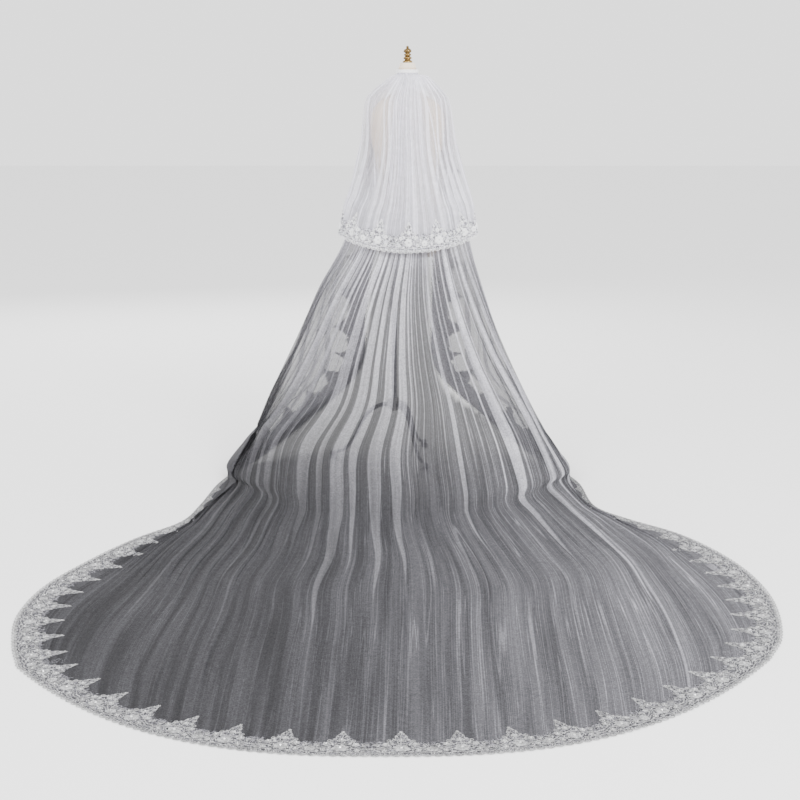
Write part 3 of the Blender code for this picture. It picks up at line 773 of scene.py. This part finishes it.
def sequin_material():
    """Small clear sequins and beads that catch the light, with painted glints as lighter spots in their
    colour.
    """
    material, tree, shader = new_material("sequin", 0.12, 0.35)
    place = tree.nodes.new("ShaderNodeTexCoord").outputs["Object"]
    painted_glint = node(tree, "ShaderNodeTexNoise", Vector=place, Scale=300.0)
    tone = ranged(tree, painted_glint.outputs["Fac"], 0.35, 0.65, 0.55, 1.0)
    colour = tree.nodes.new("ShaderNodeCombineColor")
    for index in range(3):
        feed(tree, colour.inputs[index], tone)
    feed(tree, shader.inputs["Base Color"], colour.outputs[0])
    return material


def coloured(tree, share, first, second):
    """Two colours mixed by a share."""
    made = tree.nodes.new("ShaderNodeMix")
    made.data_type = "RGBA"
    for index, value in zip((0, 6, 7), (share, (*first, 1.0), (*second, 1.0))):
        feed(tree, made.inputs[index], value)
    return made.outputs[2]


def worn_group():
    """Fine grain and broad patches, for painted and turned pieces."""
    group, given, made = new_group(
        "grain", (("Place", None), ("Grain size", 400.0), ("Patch size", 18.0)),
        (("Grain", "NodeSocketFloat"), ("Patches", "NodeSocketFloat"))
    )
    for label, size in (("Grain", "Grain size"), ("Patches", "Patch size")):
        pattern = node(
            group, "ShaderNodeTexNoise", Vector=given.outputs["Place"], Scale=given.outputs[size],
            Detail=4.0
        )
        feed(group, made.inputs[label], pattern.outputs["Fac"])
    return group


GRAIN = worn_group()


def grained_material(name, first, second, roughness, metallic, grain=400.0, bump=0.15, depth=0.0004):
    """A surface of two close colours with fine grain, as on jersey, paint, brass or rubber."""
    material, tree, shader = new_material(name, roughness, metallic)
    place = tree.nodes.new("ShaderNodeTexCoord").outputs["Object"]
    pattern = use_group(tree, GRAIN, Place=place, Grain_size=grain)
    share = ranged(
        tree, maths(tree, "ADD", maths(tree, "MULTIPLY", pattern.outputs["Patches"], 0.6),
        maths(tree, "MULTIPLY", pattern.outputs["Grain"], 0.4)), 0.35, 0.65
    )
    feed(tree, shader.inputs["Base Color"], coloured(tree, share, first, second))
    least, most = max(0.05, roughness - 0.08), min(1.0, roughness + 0.08)
    feed(tree, shader.inputs["Roughness"], ranged(tree, pattern.outputs["Patches"], 0.3, 0.7, least, most))
    feed(tree, shader.inputs["Normal"], raised(tree, pattern.outputs["Grain"], bump, depth))
    return material


def jersey_material():
    """Knitted jersey over padding: fine ribs, soft sheen and a slightly warmer shade in patches."""
    material, tree, shader = new_material("jersey_knit", 0.88)
    place = tree.nodes.new("ShaderNodeTexCoord").outputs["Object"]
    pattern = use_group(tree, GRAIN, Place=place, Grain_size=650.0, Patch_size=9.0)
    ribs = node(
        tree, "ShaderNodeTexWave", wave_type="BANDS", bands_direction="Z", Vector=place, Scale=190.0,
        Distortion=1.2, Detail=1.0
    )
    patches = ranged(tree, pattern.outputs["Patches"], 0.3, 0.7)
    feed(tree, shader.inputs["Base Color"], coloured(tree, patches, (0.74, 0.60, 0.46), (0.82, 0.69, 0.56)))
    height = maths(tree, "ADD", pattern.outputs["Grain"], maths(tree, "MULTIPLY", ribs.outputs["Fac"], 0.6))
    feed(tree, shader.inputs["Normal"], raised(tree, height, 0.35, 0.0008))
    shader.inputs["Sheen Weight"].default_value = 0.25
    return material


LONG_NET = net_material("long_net", (0.985, 0.97, 1.07), 0.88, 0.95, 0.28, 0.28, 0.33)
SHORT_NET = net_material("short_net", (0.97, 0.96, 1.06), 0.66, 0.88, 0.92, 0.05, 0.20)
TRAIN_LACE = lace_material("train_lace_thread", 0.14, 0.58, 0.36)
BACK_LACE = lace_material("back_lace_thread", 0.90, 0.98, 0.92)
SEQUIN = sequin_material()
JERSEY = jersey_material()
CAP_CLOTH = grained_material("cap_jersey", (0.74, 0.64, 0.52), (0.82, 0.73, 0.61), 0.85, 0.0, 600.0, 0.3)
BRASS = grained_material("turned_brass", (0.07, 0.045, 0.02), (0.32, 0.21, 0.08), 0.27, 1.0, 900.0, 0.08)
CREAM_PAINT = grained_material("cream_paint", (0.68, 0.65, 0.60), (0.76, 0.73, 0.68), 0.40, 0.2, 500.0, 0.10)
DARK_PAINT = grained_material("dark_paint", (0.10, 0.10, 0.11), (0.18, 0.18, 0.19), 0.42, 0.5, 500.0, 0.12)
FOOT_RUBBER = grained_material(
    "foot_rubber", (0.035, 0.035, 0.035), (0.07, 0.07, 0.07), 0.75, 0.0, 700.0, 0.3
)
SATIN = grained_material("satin_binding", (0.86, 0.86, 0.88), (0.93, 0.93, 0.95), 0.45, 0.0, 800.0, 0.2)
COMB_PLASTIC = grained_material(
    "comb_plastic", (0.74, 0.75, 0.77), (0.84, 0.85, 0.87), 0.28, 0.1, 300.0, 0.05
)

# Lace
# The repeat is drawn flat: x runs along the edge from 0 to the repeat's length, y goes in from the
# edge, and z is how far a thread stands out from the net.
REPEAT = 0.150
SCALLOPS = 6
THREAD = 0.0012
# Share of its radius that a scroll loses from its start to its end.
SCROLL_IN = 0.75
Flower = namedtuple("Flower", "x y size petals turn")
FLOWERS = (
    Flower(0.075, 0.040, 0.021, 6, 0.2),
    Flower(0.000, 0.034, 0.015, 5, 0.5),
    Flower(0.038, 0.062, 0.010, 5, 0.0),
    Flower(0.113, 0.060, 0.010, 5, 0.9),
    Flower(0.034, 0.026, 0.0085, 5, 1.3),
    Flower(0.117, 0.026, 0.0085, 5, 0.4),
    Flower(0.075, 0.086, 0.0105, 5, 0.1),
    Flower(0.075, 0.130, 0.0065, 4, 0.8),
)
Leaf = namedtuple("Leaf", "x y turn length width")
LEAVES = (
    Leaf(0.052, 0.066, 2.2, 0.020, 0.0080),
    Leaf(0.098, 0.066, 0.95, 0.020, 0.0080),
    Leaf(0.058, 0.088, 2.4, 0.018, 0.0070),
    Leaf(0.092, 0.088, 0.75, 0.018, 0.0070),
    Leaf(0.064, 0.106, 2.2, 0.016, 0.0060),
    Leaf(0.086, 0.106, 0.95, 0.016, 0.0060),
    Leaf(0.069, 0.121, 2.0, 0.012, 0.0045),
    Leaf(0.081, 0.121, 1.1, 0.012, 0.0045),
    Leaf(0.018, 0.050, 1.0, 0.017, 0.0065),
    Leaf(0.132, 0.050, 2.15, 0.017, 0.0065),
    Leaf(0.019, 0.020, 0.3, 0.016, 0.0060),
    Leaf(0.131, 0.020, 2.85, 0.016, 0.0060),
    Leaf(0.052, 0.018, 0.1, 0.015, 0.0060),
    Leaf(0.098, 0.018, 3.05, 0.015, 0.0060),
    Leaf(0.048, 0.044, 0.9, 0.013, 0.0050),
    Leaf(0.102, 0.044, 2.25, 0.013, 0.0050),
)


def pad(bm, x, y, turn, length, width, height, sides=6, pointed=0.0, material=0):
    """A raised pad of stitches, round or pointed at its two ends."""
    made = bmesh.ops.create_cone(bm, cap_ends=True, segments=sides, radius1=0.5, radius2=0.27, depth=1.0)
    cos, sin = math.cos(turn), math.sin(turn)
    for vert in made["verts"]:
        across = vert.co.y * width * (1 - pointed * (2 * vert.co.x) ** 2)
        along = vert.co.x * length
        vert.co = (x + along * cos - across * sin, y + along * sin + across * cos, (vert.co.z + 0.5) * height)
        for face in vert.link_faces:
            face.material_index = material


def cord(bm, path, thick=THREAD, height=0.0011):
    """A cord laid along a path of flat points."""
    made = bmesh.ops.create_grid(bm, x_segments=len(path) - 1, y_segments=2, size=1.0)
    for vert in made["verts"]:
        place = round((vert.co.x + 1) / 2 * (len(path) - 1))
        before, after = path[max(0, place - 1)], path[min(len(path) - 1, place + 1)]
        run = math.hypot(after[0] - before[0], after[1] - before[1]) or 1.0
        side = vert.co.y * thick
        x = path[place][0] - side * (after[1] - before[1]) / run
        y = path[place][1] + side * (after[0] - before[0]) / run
        vert.co = (x, y, height * (1 - abs(vert.co.y)))


def arc(x, y, radius_x, radius_y, start, end, steps):
    """Points of an arc, with its angles in turns."""
    angles = [math.tau * (start + (end - start) * k / steps) for k in range(steps + 1)]
    return [(x + radius_x * math.cos(angle), y + radius_y * math.sin(angle)) for angle in angles]


def scroll(x, y, radius, start, turns, steps):
    """Points of a scroll that winds in."""
    points = []
    for k in range(steps + 1):
        reach, angle = radius * (1 - SCROLL_IN * k / steps), start + turns * math.tau * k / steps
        points.append((x + reach * math.cos(angle), y + reach * math.sin(angle)))
    return points


def lace_repeat():
    """One repeat of the lace: scalloped edge, garland, flowers, leaves and a pointed spray, drawn flat."""
    rng = random.Random(3)
    bm = bmesh.new()
    step = REPEAT / SCALLOPS
    for index in range(SCALLOPS):
        x = step * (index + 0.5)
        cord(bm, arc(x, 0.006, step * 0.50, 0.0135, 0.5, 1.0, 8), 0.0016, 0.0016)
        cord(bm, arc(x, 0.008, step * 0.36, 0.0095, 0.5, 1.0, 6), 0.0010)
        pad(bm, x, 0.0035, 0.0, 0.006, 0.005, 0.0012, 5)
        for lash in (-0.33, 0.0, 0.33):
            pad(bm, x + step * lash, -0.0085 + abs(lash) * 0.010, 1.57 + lash, 0.0045, 0.0010, 0.0006, 3)
    cord(
        bm, [(REPEAT * k / 30, 0.0135 + 0.0025 * math.sin(math.tau * 3 * k / 30)) for k in range(31)],
        0.0013
    )
    cord(
        bm, [(REPEAT * k / 36, 0.050 + 0.016 * math.sin(math.tau * k / 36 - 1.57)) for k in range(37)],
        0.0013
    )
    cord(bm, [(REPEAT * k / 36, 0.031 - 0.008 * math.cos(math.tau * 2 * k / 36)) for k in range(37)], 0.0011)
    for side in (-1, 1):
        cord(bm, scroll(0.075 + side * 0.030, 0.082, 0.0085, 1.57 + side * 1.2, side * 1.3, 18), 0.0010)
        cord(bm, scroll(0.075 + side * 0.060, 0.060, 0.0080, 1.57 - side * 1.2, -side * 1.3, 16), 0.0010)
        stem = [
            (0.075 + side * (0.030 - 0.030 * k / 14) * (1 + 0.25 * math.sin(k * 0.9)), 0.066 + 0.072 * k / 14)
            for k in range(15)
        ]
        cord(bm, stem, 0.0011)
    cord(bm, [(0.075 + 0.002 * math.sin(k), 0.056 + 0.080 * k / 12) for k in range(13)], 0.0011)
    for flower in FLOWERS:
        for petal in range(flower.petals):
            turn = flower.turn + math.tau * petal / flower.petals
            reach = flower.size * 0.58
            pad(
                bm, flower.x + reach * math.cos(turn), flower.y + reach * math.sin(turn), turn,
                flower.size * 0.86, flower.size * 0.80, 0.0018, 7, 0.25
            )
            if flower.size > 0.012:
                pad(
                    bm, flower.x + reach * 0.55 * math.cos(turn + 0.5),
                    flower.y + reach * 0.55 * math.sin(turn + 0.5), turn + 0.5, flower.size * 0.42,
                    flower.size * 0.30, 0.0028, 5, 0.3
                )
        pad(bm, flower.x, flower.y, 0, flower.size * 0.42, flower.size * 0.42, 0.0032, 6, 0, 1)
    for leaf in LEAVES:
        pad(bm, leaf.x, leaf.y, leaf.turn, leaf.length, leaf.width, 0.0015, 6, 0.85)
    for _ in range(34):
        x, y = rng.uniform(0, REPEAT), rng.uniform(0.004, 0.062)
        pad(bm, x, y, rng.uniform(0, 3), 0.0042, 0.0030, 0.0012, 4, 0.2)
    for _ in range(26):
        x = rng.uniform(0, REPEAT)
        top = 0.060 + 0.070 * max(0.0, 1 - abs(x - 0.075) / 0.035)
        pad(bm, x, rng.uniform(0.004, top), 0, 0.0026, 0.0026, 0.0024, 4, 0, 1)
    mesh = bpy.data.meshes.new("lace_repeat")
    bm.to_mesh(mesh)
    bm.free()
    return mesh


Edge = namedtuple("Edge", "places line way deep stretches start_row")


def lace_edge(points, tier, inner_rows, depth):
    """The cloth's edge from one front corner round the hem to the other, with the way in from the edge."""
    start_row = round((tier.lace_from + 0.45) * tier.steps)
    left, hem, right = points[0, start_row:], points[:, -1], points[-1, start_row:][::-1]
    left_in = points[BAND_COLUMNS, start_row:]
    right_in = points[-1 - BAND_COLUMNS, start_row:][::-1]
    hem_in = points[:, -1 - inner_rows]
    line = np.concatenate([left, hem[1:-1], right])
    inner = np.concatenate([left_in, hem_in[1:-1], right_in])
    steps = np.linalg.norm(np.diff(line, axis=0), axis=1)
    walked = np.concatenate([[0], np.cumsum(steps)])
    first, second, length = walked[len(left) - 1], walked[len(left) + len(hem) - 2], walked[-1]
    stretches = [
        (start, end, max(1, round((end - start) / REPEAT)))
        for start, end in ((0.0, first), (first, second), (second, length))
    ]
    places = np.arange(0, length, 0.004)
    side = np.interp((start_row + np.arange(len(left))) / tier.steps, TUCK_ROWS, TUCK_SHARES)
    shown = (
        np.concatenate([side, np.ones(len(hem) - 2), side[::-1]])
        if tier is LONG_TIER else np.ones(len(line))
    )
    deep = (
        depth * np.minimum(1.0, 0.35 + np.minimum(places, length - places) / 0.25)
        * np.interp(places, walked, shown)
    )
    def read(values):
        return np.column_stack([np.interp(places, walked, values[:, axis]) for axis in range(3)])
    course = np.gradient(smoothed(read(line), 12), axis=0)
    course /= np.linalg.norm(course, axis=1, keepdims=True)
    way = read(inner) - read(line)
    way -= course * (way * course).sum(axis=1, keepdims=True)
    way = smoothed(way / np.linalg.norm(way, axis=1, keepdims=True), 14)
    way /= np.linalg.norm(way, axis=1, keepdims=True)
    return Edge(places, read(line), way, deep, stretches, start_row)


def edge_places(points, edge):
    """Where every point of the cloth lies along the lace, in repeats, and how far in it is."""
    turns = np.zeros(len(edge.places))
    for start, end, count in edge.stretches:
        inside = edge.places >= start
        turns[inside] = (edge.places[inside] - start) / (end - start) * count
    tree = KDTree(len(edge.line))
    for index, spot in enumerate(edge.line):
        tree.insert(spot, index)
    tree.balance()
    columns, rows = points.shape[:2]
    result = np.full((columns, rows, 2), 0.5)
    for column in range(columns):
        for row in range(edge.start_row, rows):
            _, index, inward = tree.find(points[column, row])
            result[column, row] = (turns[index], min(0.5, inward / edge.deep[index]))
    return result


def lace_object(name, repeat, edge, tree, stretch, thread):
    """Lace laid on the cloth along a stretch of its edge."""
    start, end, count = stretch
    longer = (end - start) / count / REPEAT
    bm = bmesh.new()
    for index in range(count):
        first = len(bm.verts)
        bm.from_mesh(repeat)
        bm.verts.ensure_lookup_table()
        for vert in bm.verts[first:]:
            x = vert.co.x if index % 2 else REPEAT - vert.co.x
            place = start + (index * REPEAT + x) * longer
            at = min(max(place / 0.004, 0), len(edge.places) - 1.001)
            low, share = int(at), at - int(at)
            base = Vector(edge.line[low] * (1 - share) + edge.line[low + 1] * share)
            inward = Vector(edge.way[low] * (1 - share) + edge.way[low + 1] * share)
            spot = base + inward * (vert.co.y * float(edge.deep[low]))
            found, normal, _, _ = tree.find_nearest(spot)
            if vert.co.y < 0.001:
                found = spot
            lifted = found + normal * (vert.co.z + 0.0006)
            lifted.z = max(lifted.z, FLOOR_GAP + vert.co.z)
            vert.co = lifted
    obj = make_mesh(name, bm, smooth=False)
    obj.data.materials.append(thread)
    obj.data.materials.append(SEQUIN)
    return obj


# Form and stand
Ring = namedtuple("Ring", "z side back front")
TORSO_RINGS = (
    Ring(0.8530, 0.106, 0.078, 0.076),
    Ring(0.9000, 0.137, 0.103, 0.090),
    Ring(0.9800, 0.161, 0.122, 0.104),
    Ring(1.0600, 0.151, 0.108, 0.101),
    Ring(1.1500, 0.124, 0.086, 0.093),
    Ring(1.2400, 0.130, 0.091, 0.104),
    Ring(1.3300, 0.147, 0.103, 0.110),
    Ring(1.3950, 0.150, 0.097, 0.092),
    Ring(1.4400, 0.142, 0.083, 0.070),
    Ring(1.4750, 0.118, 0.066, 0.058),
    Ring(1.5020, 0.078, 0.050, 0.045),
    Ring(1.5300, 0.047, 0.041, 0.038),
    Ring(1.5600, 0.0366, 0.0366, 0.0366),
    Ring(1.6120, 0.0364, 0.0364, 0.0364),
)
TORSO_SIDES = 72


def smooth_rows(rows, steps):
    """Rows on a smooth curve through the given rows."""
    rows = np.array(rows, dtype=float)
    padded = np.vstack([2 * rows[0] - rows[1], rows, 2 * rows[-1] - rows[-2]])
    curve = []
    for before, start, end, after in zip(padded, padded[1:], padded[2:], padded[3:]):
        for step in range(steps):
            t = step / steps
            square = (2 * before - 5 * start + 4 * end - after) * t**2
            cube = (3 * start - before - 3 * end + after) * t**3
            curve.append(start + ((end - before) * t + square + cube) / 2)
    return curve + [rows[-1]]


def torso_object():
    """The padded body: a ball's rings set to the form's widths and depths on a smooth curve."""
    rows = smooth_rows(TORSO_RINGS, 6)
    bm = bmesh.new()
    bmesh.ops.create_uvsphere(bm, u_segments=TORSO_SIDES, v_segments=len(rows) + 1, radius=1.0)
    levels = sorted({round(vert.co.z, 5) for vert in bm.verts})
    order = {level: index for index, level in enumerate(levels)}
    for vert in bm.verts:
        level = order[round(vert.co.z, 5)]
        z, side, back, front = rows[min(max(level - 1, 0), len(rows) - 1)]
        angle = math.atan2(vert.co.y, vert.co.x)
        reach = 1.0 if 0 < level < len(levels) - 1 else 0.0
        depth = front if vert.co.y > 0 else back
        seam = (
            1 - 0.006 * math.exp(-(math.cos(angle) / 0.02) ** 2)
            - 0.005 * math.exp(-((abs(math.cos(angle)) - 0.62) / 0.02) ** 2)
        )
        x, y = side * math.cos(angle) * reach * seam, depth * math.sin(angle) * reach * seam
        vert.co = (FORM_AXIS_X + x, FORM_AXIS_Y + y, z)
    return make_mesh("jersey_body", bm)


def turned_object(name, profile, x, y, material, steps=40):
    """A turned piece from a profile of radius and height that runs from the top down."""
    bm = bmesh.new()
    verts = [bm.verts.new((x + radius, y, z)) for radius, z in profile]
    edges = [bm.edges.new(pair) for pair in zip(verts, verts[1:])]
    bmesh.ops.spin(
        bm, geom=verts + edges, cent=(x, y, 0), axis=(0, 0, 1), angle=math.tau, steps=steps, use_merge=True,
        use_duplicate=False
    )
    bmesh.ops.remove_doubles(bm, verts=bm.verts[:], dist=1e-5)
    bmesh.ops.recalc_face_normals(bm, faces=bm.faces[:])
    obj = make_mesh(name, bm)
    obj.data.set_sharp_from_angle(angle=math.radians(50))
    obj.data.materials.append(material)
    return obj


Profile = namedtuple("Profile", "node name material x points")
TURNED = (
    Profile("form_cap", "cap_cover", CAP_CLOTH, FORM_AXIS_X, (
        (0.0, 1.6330), (0.0255, 1.6330), (0.0280, 1.6325), (0.0297, 1.6305), (0.0320, 1.6230),
        (0.0340, 1.6155), (0.0350, 1.6128), (0.0348, 1.6123), (0.0, 1.6123))),
    Profile("form_finial", "brass_finial", BRASS, FORM_AXIS_X, (
        (0.0, 1.7000), (0.0026, 1.6996), (0.0046, 1.6980), (0.0058, 1.6955), (0.0054, 1.6925),
        (0.0046, 1.6912), (0.0072, 1.6898), (0.0105, 1.6880),
        (0.0148, 1.6840), (0.0164, 1.6795), (0.0160, 1.6760), (0.0125, 1.6725), (0.0090, 1.6712),
        (0.0092, 1.6695), (0.0135, 1.6680), (0.0151, 1.6650),
        (0.0142, 1.6620), (0.0100, 1.6603), (0.0094, 1.6585), (0.0140, 1.6565), (0.0170, 1.6535),
        (0.0174, 1.6505), (0.0150, 1.6480), (0.0112, 1.6462),
        (0.0110, 1.6445), (0.0160, 1.6420), (0.0194, 1.6395), (0.0197, 1.6365), (0.0195, 1.6333),
        (0.0, 1.6333))),
    Profile("stand_flange", "pole_flange", CREAM_PAINT, POLE_AXIS_X, (
        (0.0, 0.8527), (0.0268, 0.8527), (0.0270, 0.8523), (0.0270, 0.8494), (0.0262, 0.8484),
        (0.0215, 0.8440), (0.0205, 0.8400), (0.0181, 0.8130), (0.0178, 0.8120), (0.0, 0.8120))),
    Profile("stand_upper_tube", "upper_tube", CREAM_PAINT, POLE_AXIS_X,
        ((0.0, 0.8117), (0.0140, 0.8117), (0.0140, 0.6703), (0.0, 0.6703))),
    Profile("stand_collar", "twist_collar", CREAM_PAINT, POLE_AXIS_X, (
        (0.0, 0.6700), (0.0163, 0.6700), (0.0174, 0.6694), (0.0180, 0.6680), (0.0180, 0.6655),
        (0.0175, 0.6650), (0.0180, 0.6645), (0.0180, 0.6610), (0.0175, 0.6605),
        (0.0180, 0.6600), (0.0180, 0.6565), (0.0175, 0.6560), (0.0180, 0.6555), (0.0180, 0.6480),
        (0.0172, 0.6445), (0.0165, 0.6420), (0.0, 0.6420))),
    Profile("stand_lower_pole", "lower_pole", DARK_PAINT, POLE_AXIS_X,
        ((0.0, 0.6417), (0.0110, 0.6417), (0.0110, 0.2623), (0.0, 0.2623))),
    Profile("stand_hub", "leg_hub", CREAM_PAINT, POLE_AXIS_X, (
        (0.0, 0.2620), (0.0145, 0.2620), (0.0156, 0.2612), (0.0190, 0.2560), (0.0240, 0.2520),
        (0.0272, 0.2500), (0.0286, 0.2475), (0.0290, 0.2440), (0.0290, 0.2180),
        (0.0280, 0.2150), (0.0240, 0.2110), (0.0170, 0.2062), (0.0110, 0.2030), (0.0060, 0.2021),
        (0.0, 0.2020))),
)
Bend = namedtuple("Bend", "reach z radius")
LEG_BENDS = (
    Bend(0.0302, 0.2310, 0.0095),
    Bend(0.0480, 0.2305, 0.0090),
    Bend(0.0800, 0.2180, 0.0085),
    Bend(0.1120, 0.1920, 0.0080),
    Bend(0.1400, 0.1500, 0.0076),
    Bend(0.1650, 0.0990, 0.0072),
    Bend(0.1930, 0.0560, 0.0068),
    Bend(0.2250, 0.0310, 0.0065),
    Bend(0.2700, 0.0228, 0.0062),
)
LEG_TURNS = {"a": 30, "b": 150, "c": 270}
FOOT_REACH = 0.2580
FOOT_POINTS = (
    (0.0, 0.0158), (0.0112, 0.0158), (0.0128, 0.0150), (0.0140, 0.0135), (0.0145, 0.0090), (0.0145, 0.0020),
    (0.0140, 0.0006), (0.0130, 0.0), (0.0, 0.0)
)


def leg_object(letter, turn):
    """A curved leg: a round profile carried along the leg's smooth line."""
    rows = smooth_rows(LEG_BENDS, 5)
    curve = bpy.data.curves.new("leg_line", "CURVE")
    curve.dimensions = "3D"
    curve.bevel_depth = 1.0
    curve.bevel_resolution = 6
    curve.use_fill_caps = True
    spline = curve.splines.new("POLY")
    spline.points.add(len(rows) - 1)
    angle = math.radians(turn)
    for point, (reach, z, radius) in zip(spline.points, rows):
        point.co = (POLE_AXIS_X + reach * math.sin(angle), FORM_AXIS_Y - reach * math.cos(angle), z, 1.0)
        point.radius = radius
    line = bpy.data.objects.new("leg_line", curve)
    bpy.context.scene.collection.objects.link(line)
    bpy.context.view_layer.update()
    mesh = bpy.data.meshes.new_from_object(line.evaluated_get(bpy.context.evaluated_depsgraph_get()))
    bpy.data.objects.remove(line)
    bm = bmesh.new()
    bm.from_mesh(mesh)
    bmesh.ops.remove_doubles(bm, verts=bm.verts[:], dist=1e-5)
    obj = make_mesh(f"curved_leg_{letter}", bm)
    obj.data.materials.clear()
    obj.data.materials.append(DARK_PAINT)
    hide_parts(f"stand_leg_{letter}")
    foot_x, foot_y = POLE_AXIS_X + FOOT_REACH * math.sin(angle), FORM_AXIS_Y - FOOT_REACH * math.cos(angle)
    foot = turned_object(f"leg_foot_{letter}", FOOT_POINTS, foot_x, foot_y, FOOT_RUBBER, 28)
    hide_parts(f"stand_foot_{letter}")


def build_form_and_stand():
    """The dress form, its turned pieces and the tripod."""
    for item in TURNED:
        obj = turned_object(item.name, item.points, item.x, FORM_AXIS_Y, item.material)
        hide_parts(item.node)
    body = torso_object()
    body.data.materials.append(JERSEY)
    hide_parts("form_body")
    for letter, turn in LEG_TURNS.items():
        leg_object(letter, turn)


def build_heading():
    """Better looks for the binding and the comb, which keep their shape."""
    for name, material in (("binding", SATIN), ("comb", COMB_PLASTIC)):
        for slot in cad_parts[name].material_slots:
            slot.material = material


# Cloth pieces
def build_tier(name, tier, tones, material, thread, inner_rows, depth):
    """One tier of net with its lace, laid on the net's edge."""
    surface = cloth_surface(tier, tones)
    edge = lace_edge(surface[0], tier, inner_rows, depth)
    net = cloth_object(f"{name}_net", surface, edge_places(surface[0], edge), material)
    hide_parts(f"{name}_tier")
    bm = bmesh.new()
    bm.from_mesh(net.data)
    tree = BVHTree.FromBMesh(bm)
    bm.free()
    repeat = lace_repeat()
    pieces = []
    for part, stretch in zip(("left", "hem", "right"), edge.stretches):
        piece = lace_object(f"{name}_lace_{part}", repeat, edge, tree, stretch, thread)
        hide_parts(f"{name}_tier_lace_{part}")
        pieces.append(piece)
    return net, pieces


def build_cloth():
    """Both tiers of net, each with its lace."""
    long_net, long_lace = build_tier("long", LONG_TIER, LONG_TONES, LONG_NET, TRAIN_LACE, 7, 1.0)
    short_net, short_lace = build_tier("short", SHORT_TIER, SHORT_TONES, SHORT_NET, BACK_LACE, 8, 0.86)


# Studio
FLOOR_REACH = 30.0
FLOOR_DROP = 0.0004
SURROUND_STRENGTH = 2.0


def add_stage():
    """A plain pale floor."""
    bm = bmesh.new()
    bmesh.ops.create_grid(bm, x_segments=1, y_segments=1, size=FLOOR_REACH)
    mesh = bpy.data.meshes.new("floor")
    bm.to_mesh(mesh)
    bm.free()
    floor = bpy.data.objects.new("floor", mesh)
    bpy.context.scene.collection.objects.link(floor)
    floor.location = (0, 0, -FLOOR_DROP)
    material, _, shader = new_material("pale_floor", 0.9)
    shader.inputs["Base Color"].default_value = (0.90, 0.90, 0.90, 1.0)
    shader.inputs["Specular IOR Level"].default_value = 0.1
    mesh.materials.append(material)


Lamp = namedtuple("Lamp", "name place size power")
LAMPS = (
    Lamp("soft_key", (3.2, -4.6, 4.2), 3.5, 640.0),
    Lamp("soft_fill", (-4.0, -3.4, 3.4), 3.5, 170.0),
    Lamp("soft_front", (-1.5, 5.5, 3.6), 4.0, 220.0),
)


def add_lights():
    """Large soft lamps round the form and an even pale surround."""
    aim = Vector((0, 0, 0.5))
    for lamp in LAMPS:
        light = bpy.data.lights.new(lamp.name, "AREA")
        light.size = lamp.size
        light.energy = lamp.power
        obj = bpy.data.objects.new(lamp.name, light)
        bpy.context.scene.collection.objects.link(obj)
        obj.location = lamp.place
        obj.rotation_euler = (aim - Vector(lamp.place)).to_track_quat("-Z", "Y").to_euler()
    world = bpy.data.worlds.new("studio")
    bpy.context.scene.world = world
    world.use_nodes = True
    world.node_tree.nodes["Background"].inputs["Color"].default_value = (1.0, 1.0, 1.0, 1.0)
    world.node_tree.nodes["Background"].inputs["Strength"].default_value = SURROUND_STRENGTH


build_cloth()
build_form_and_stand()
build_heading()
add_stage()
add_lights()
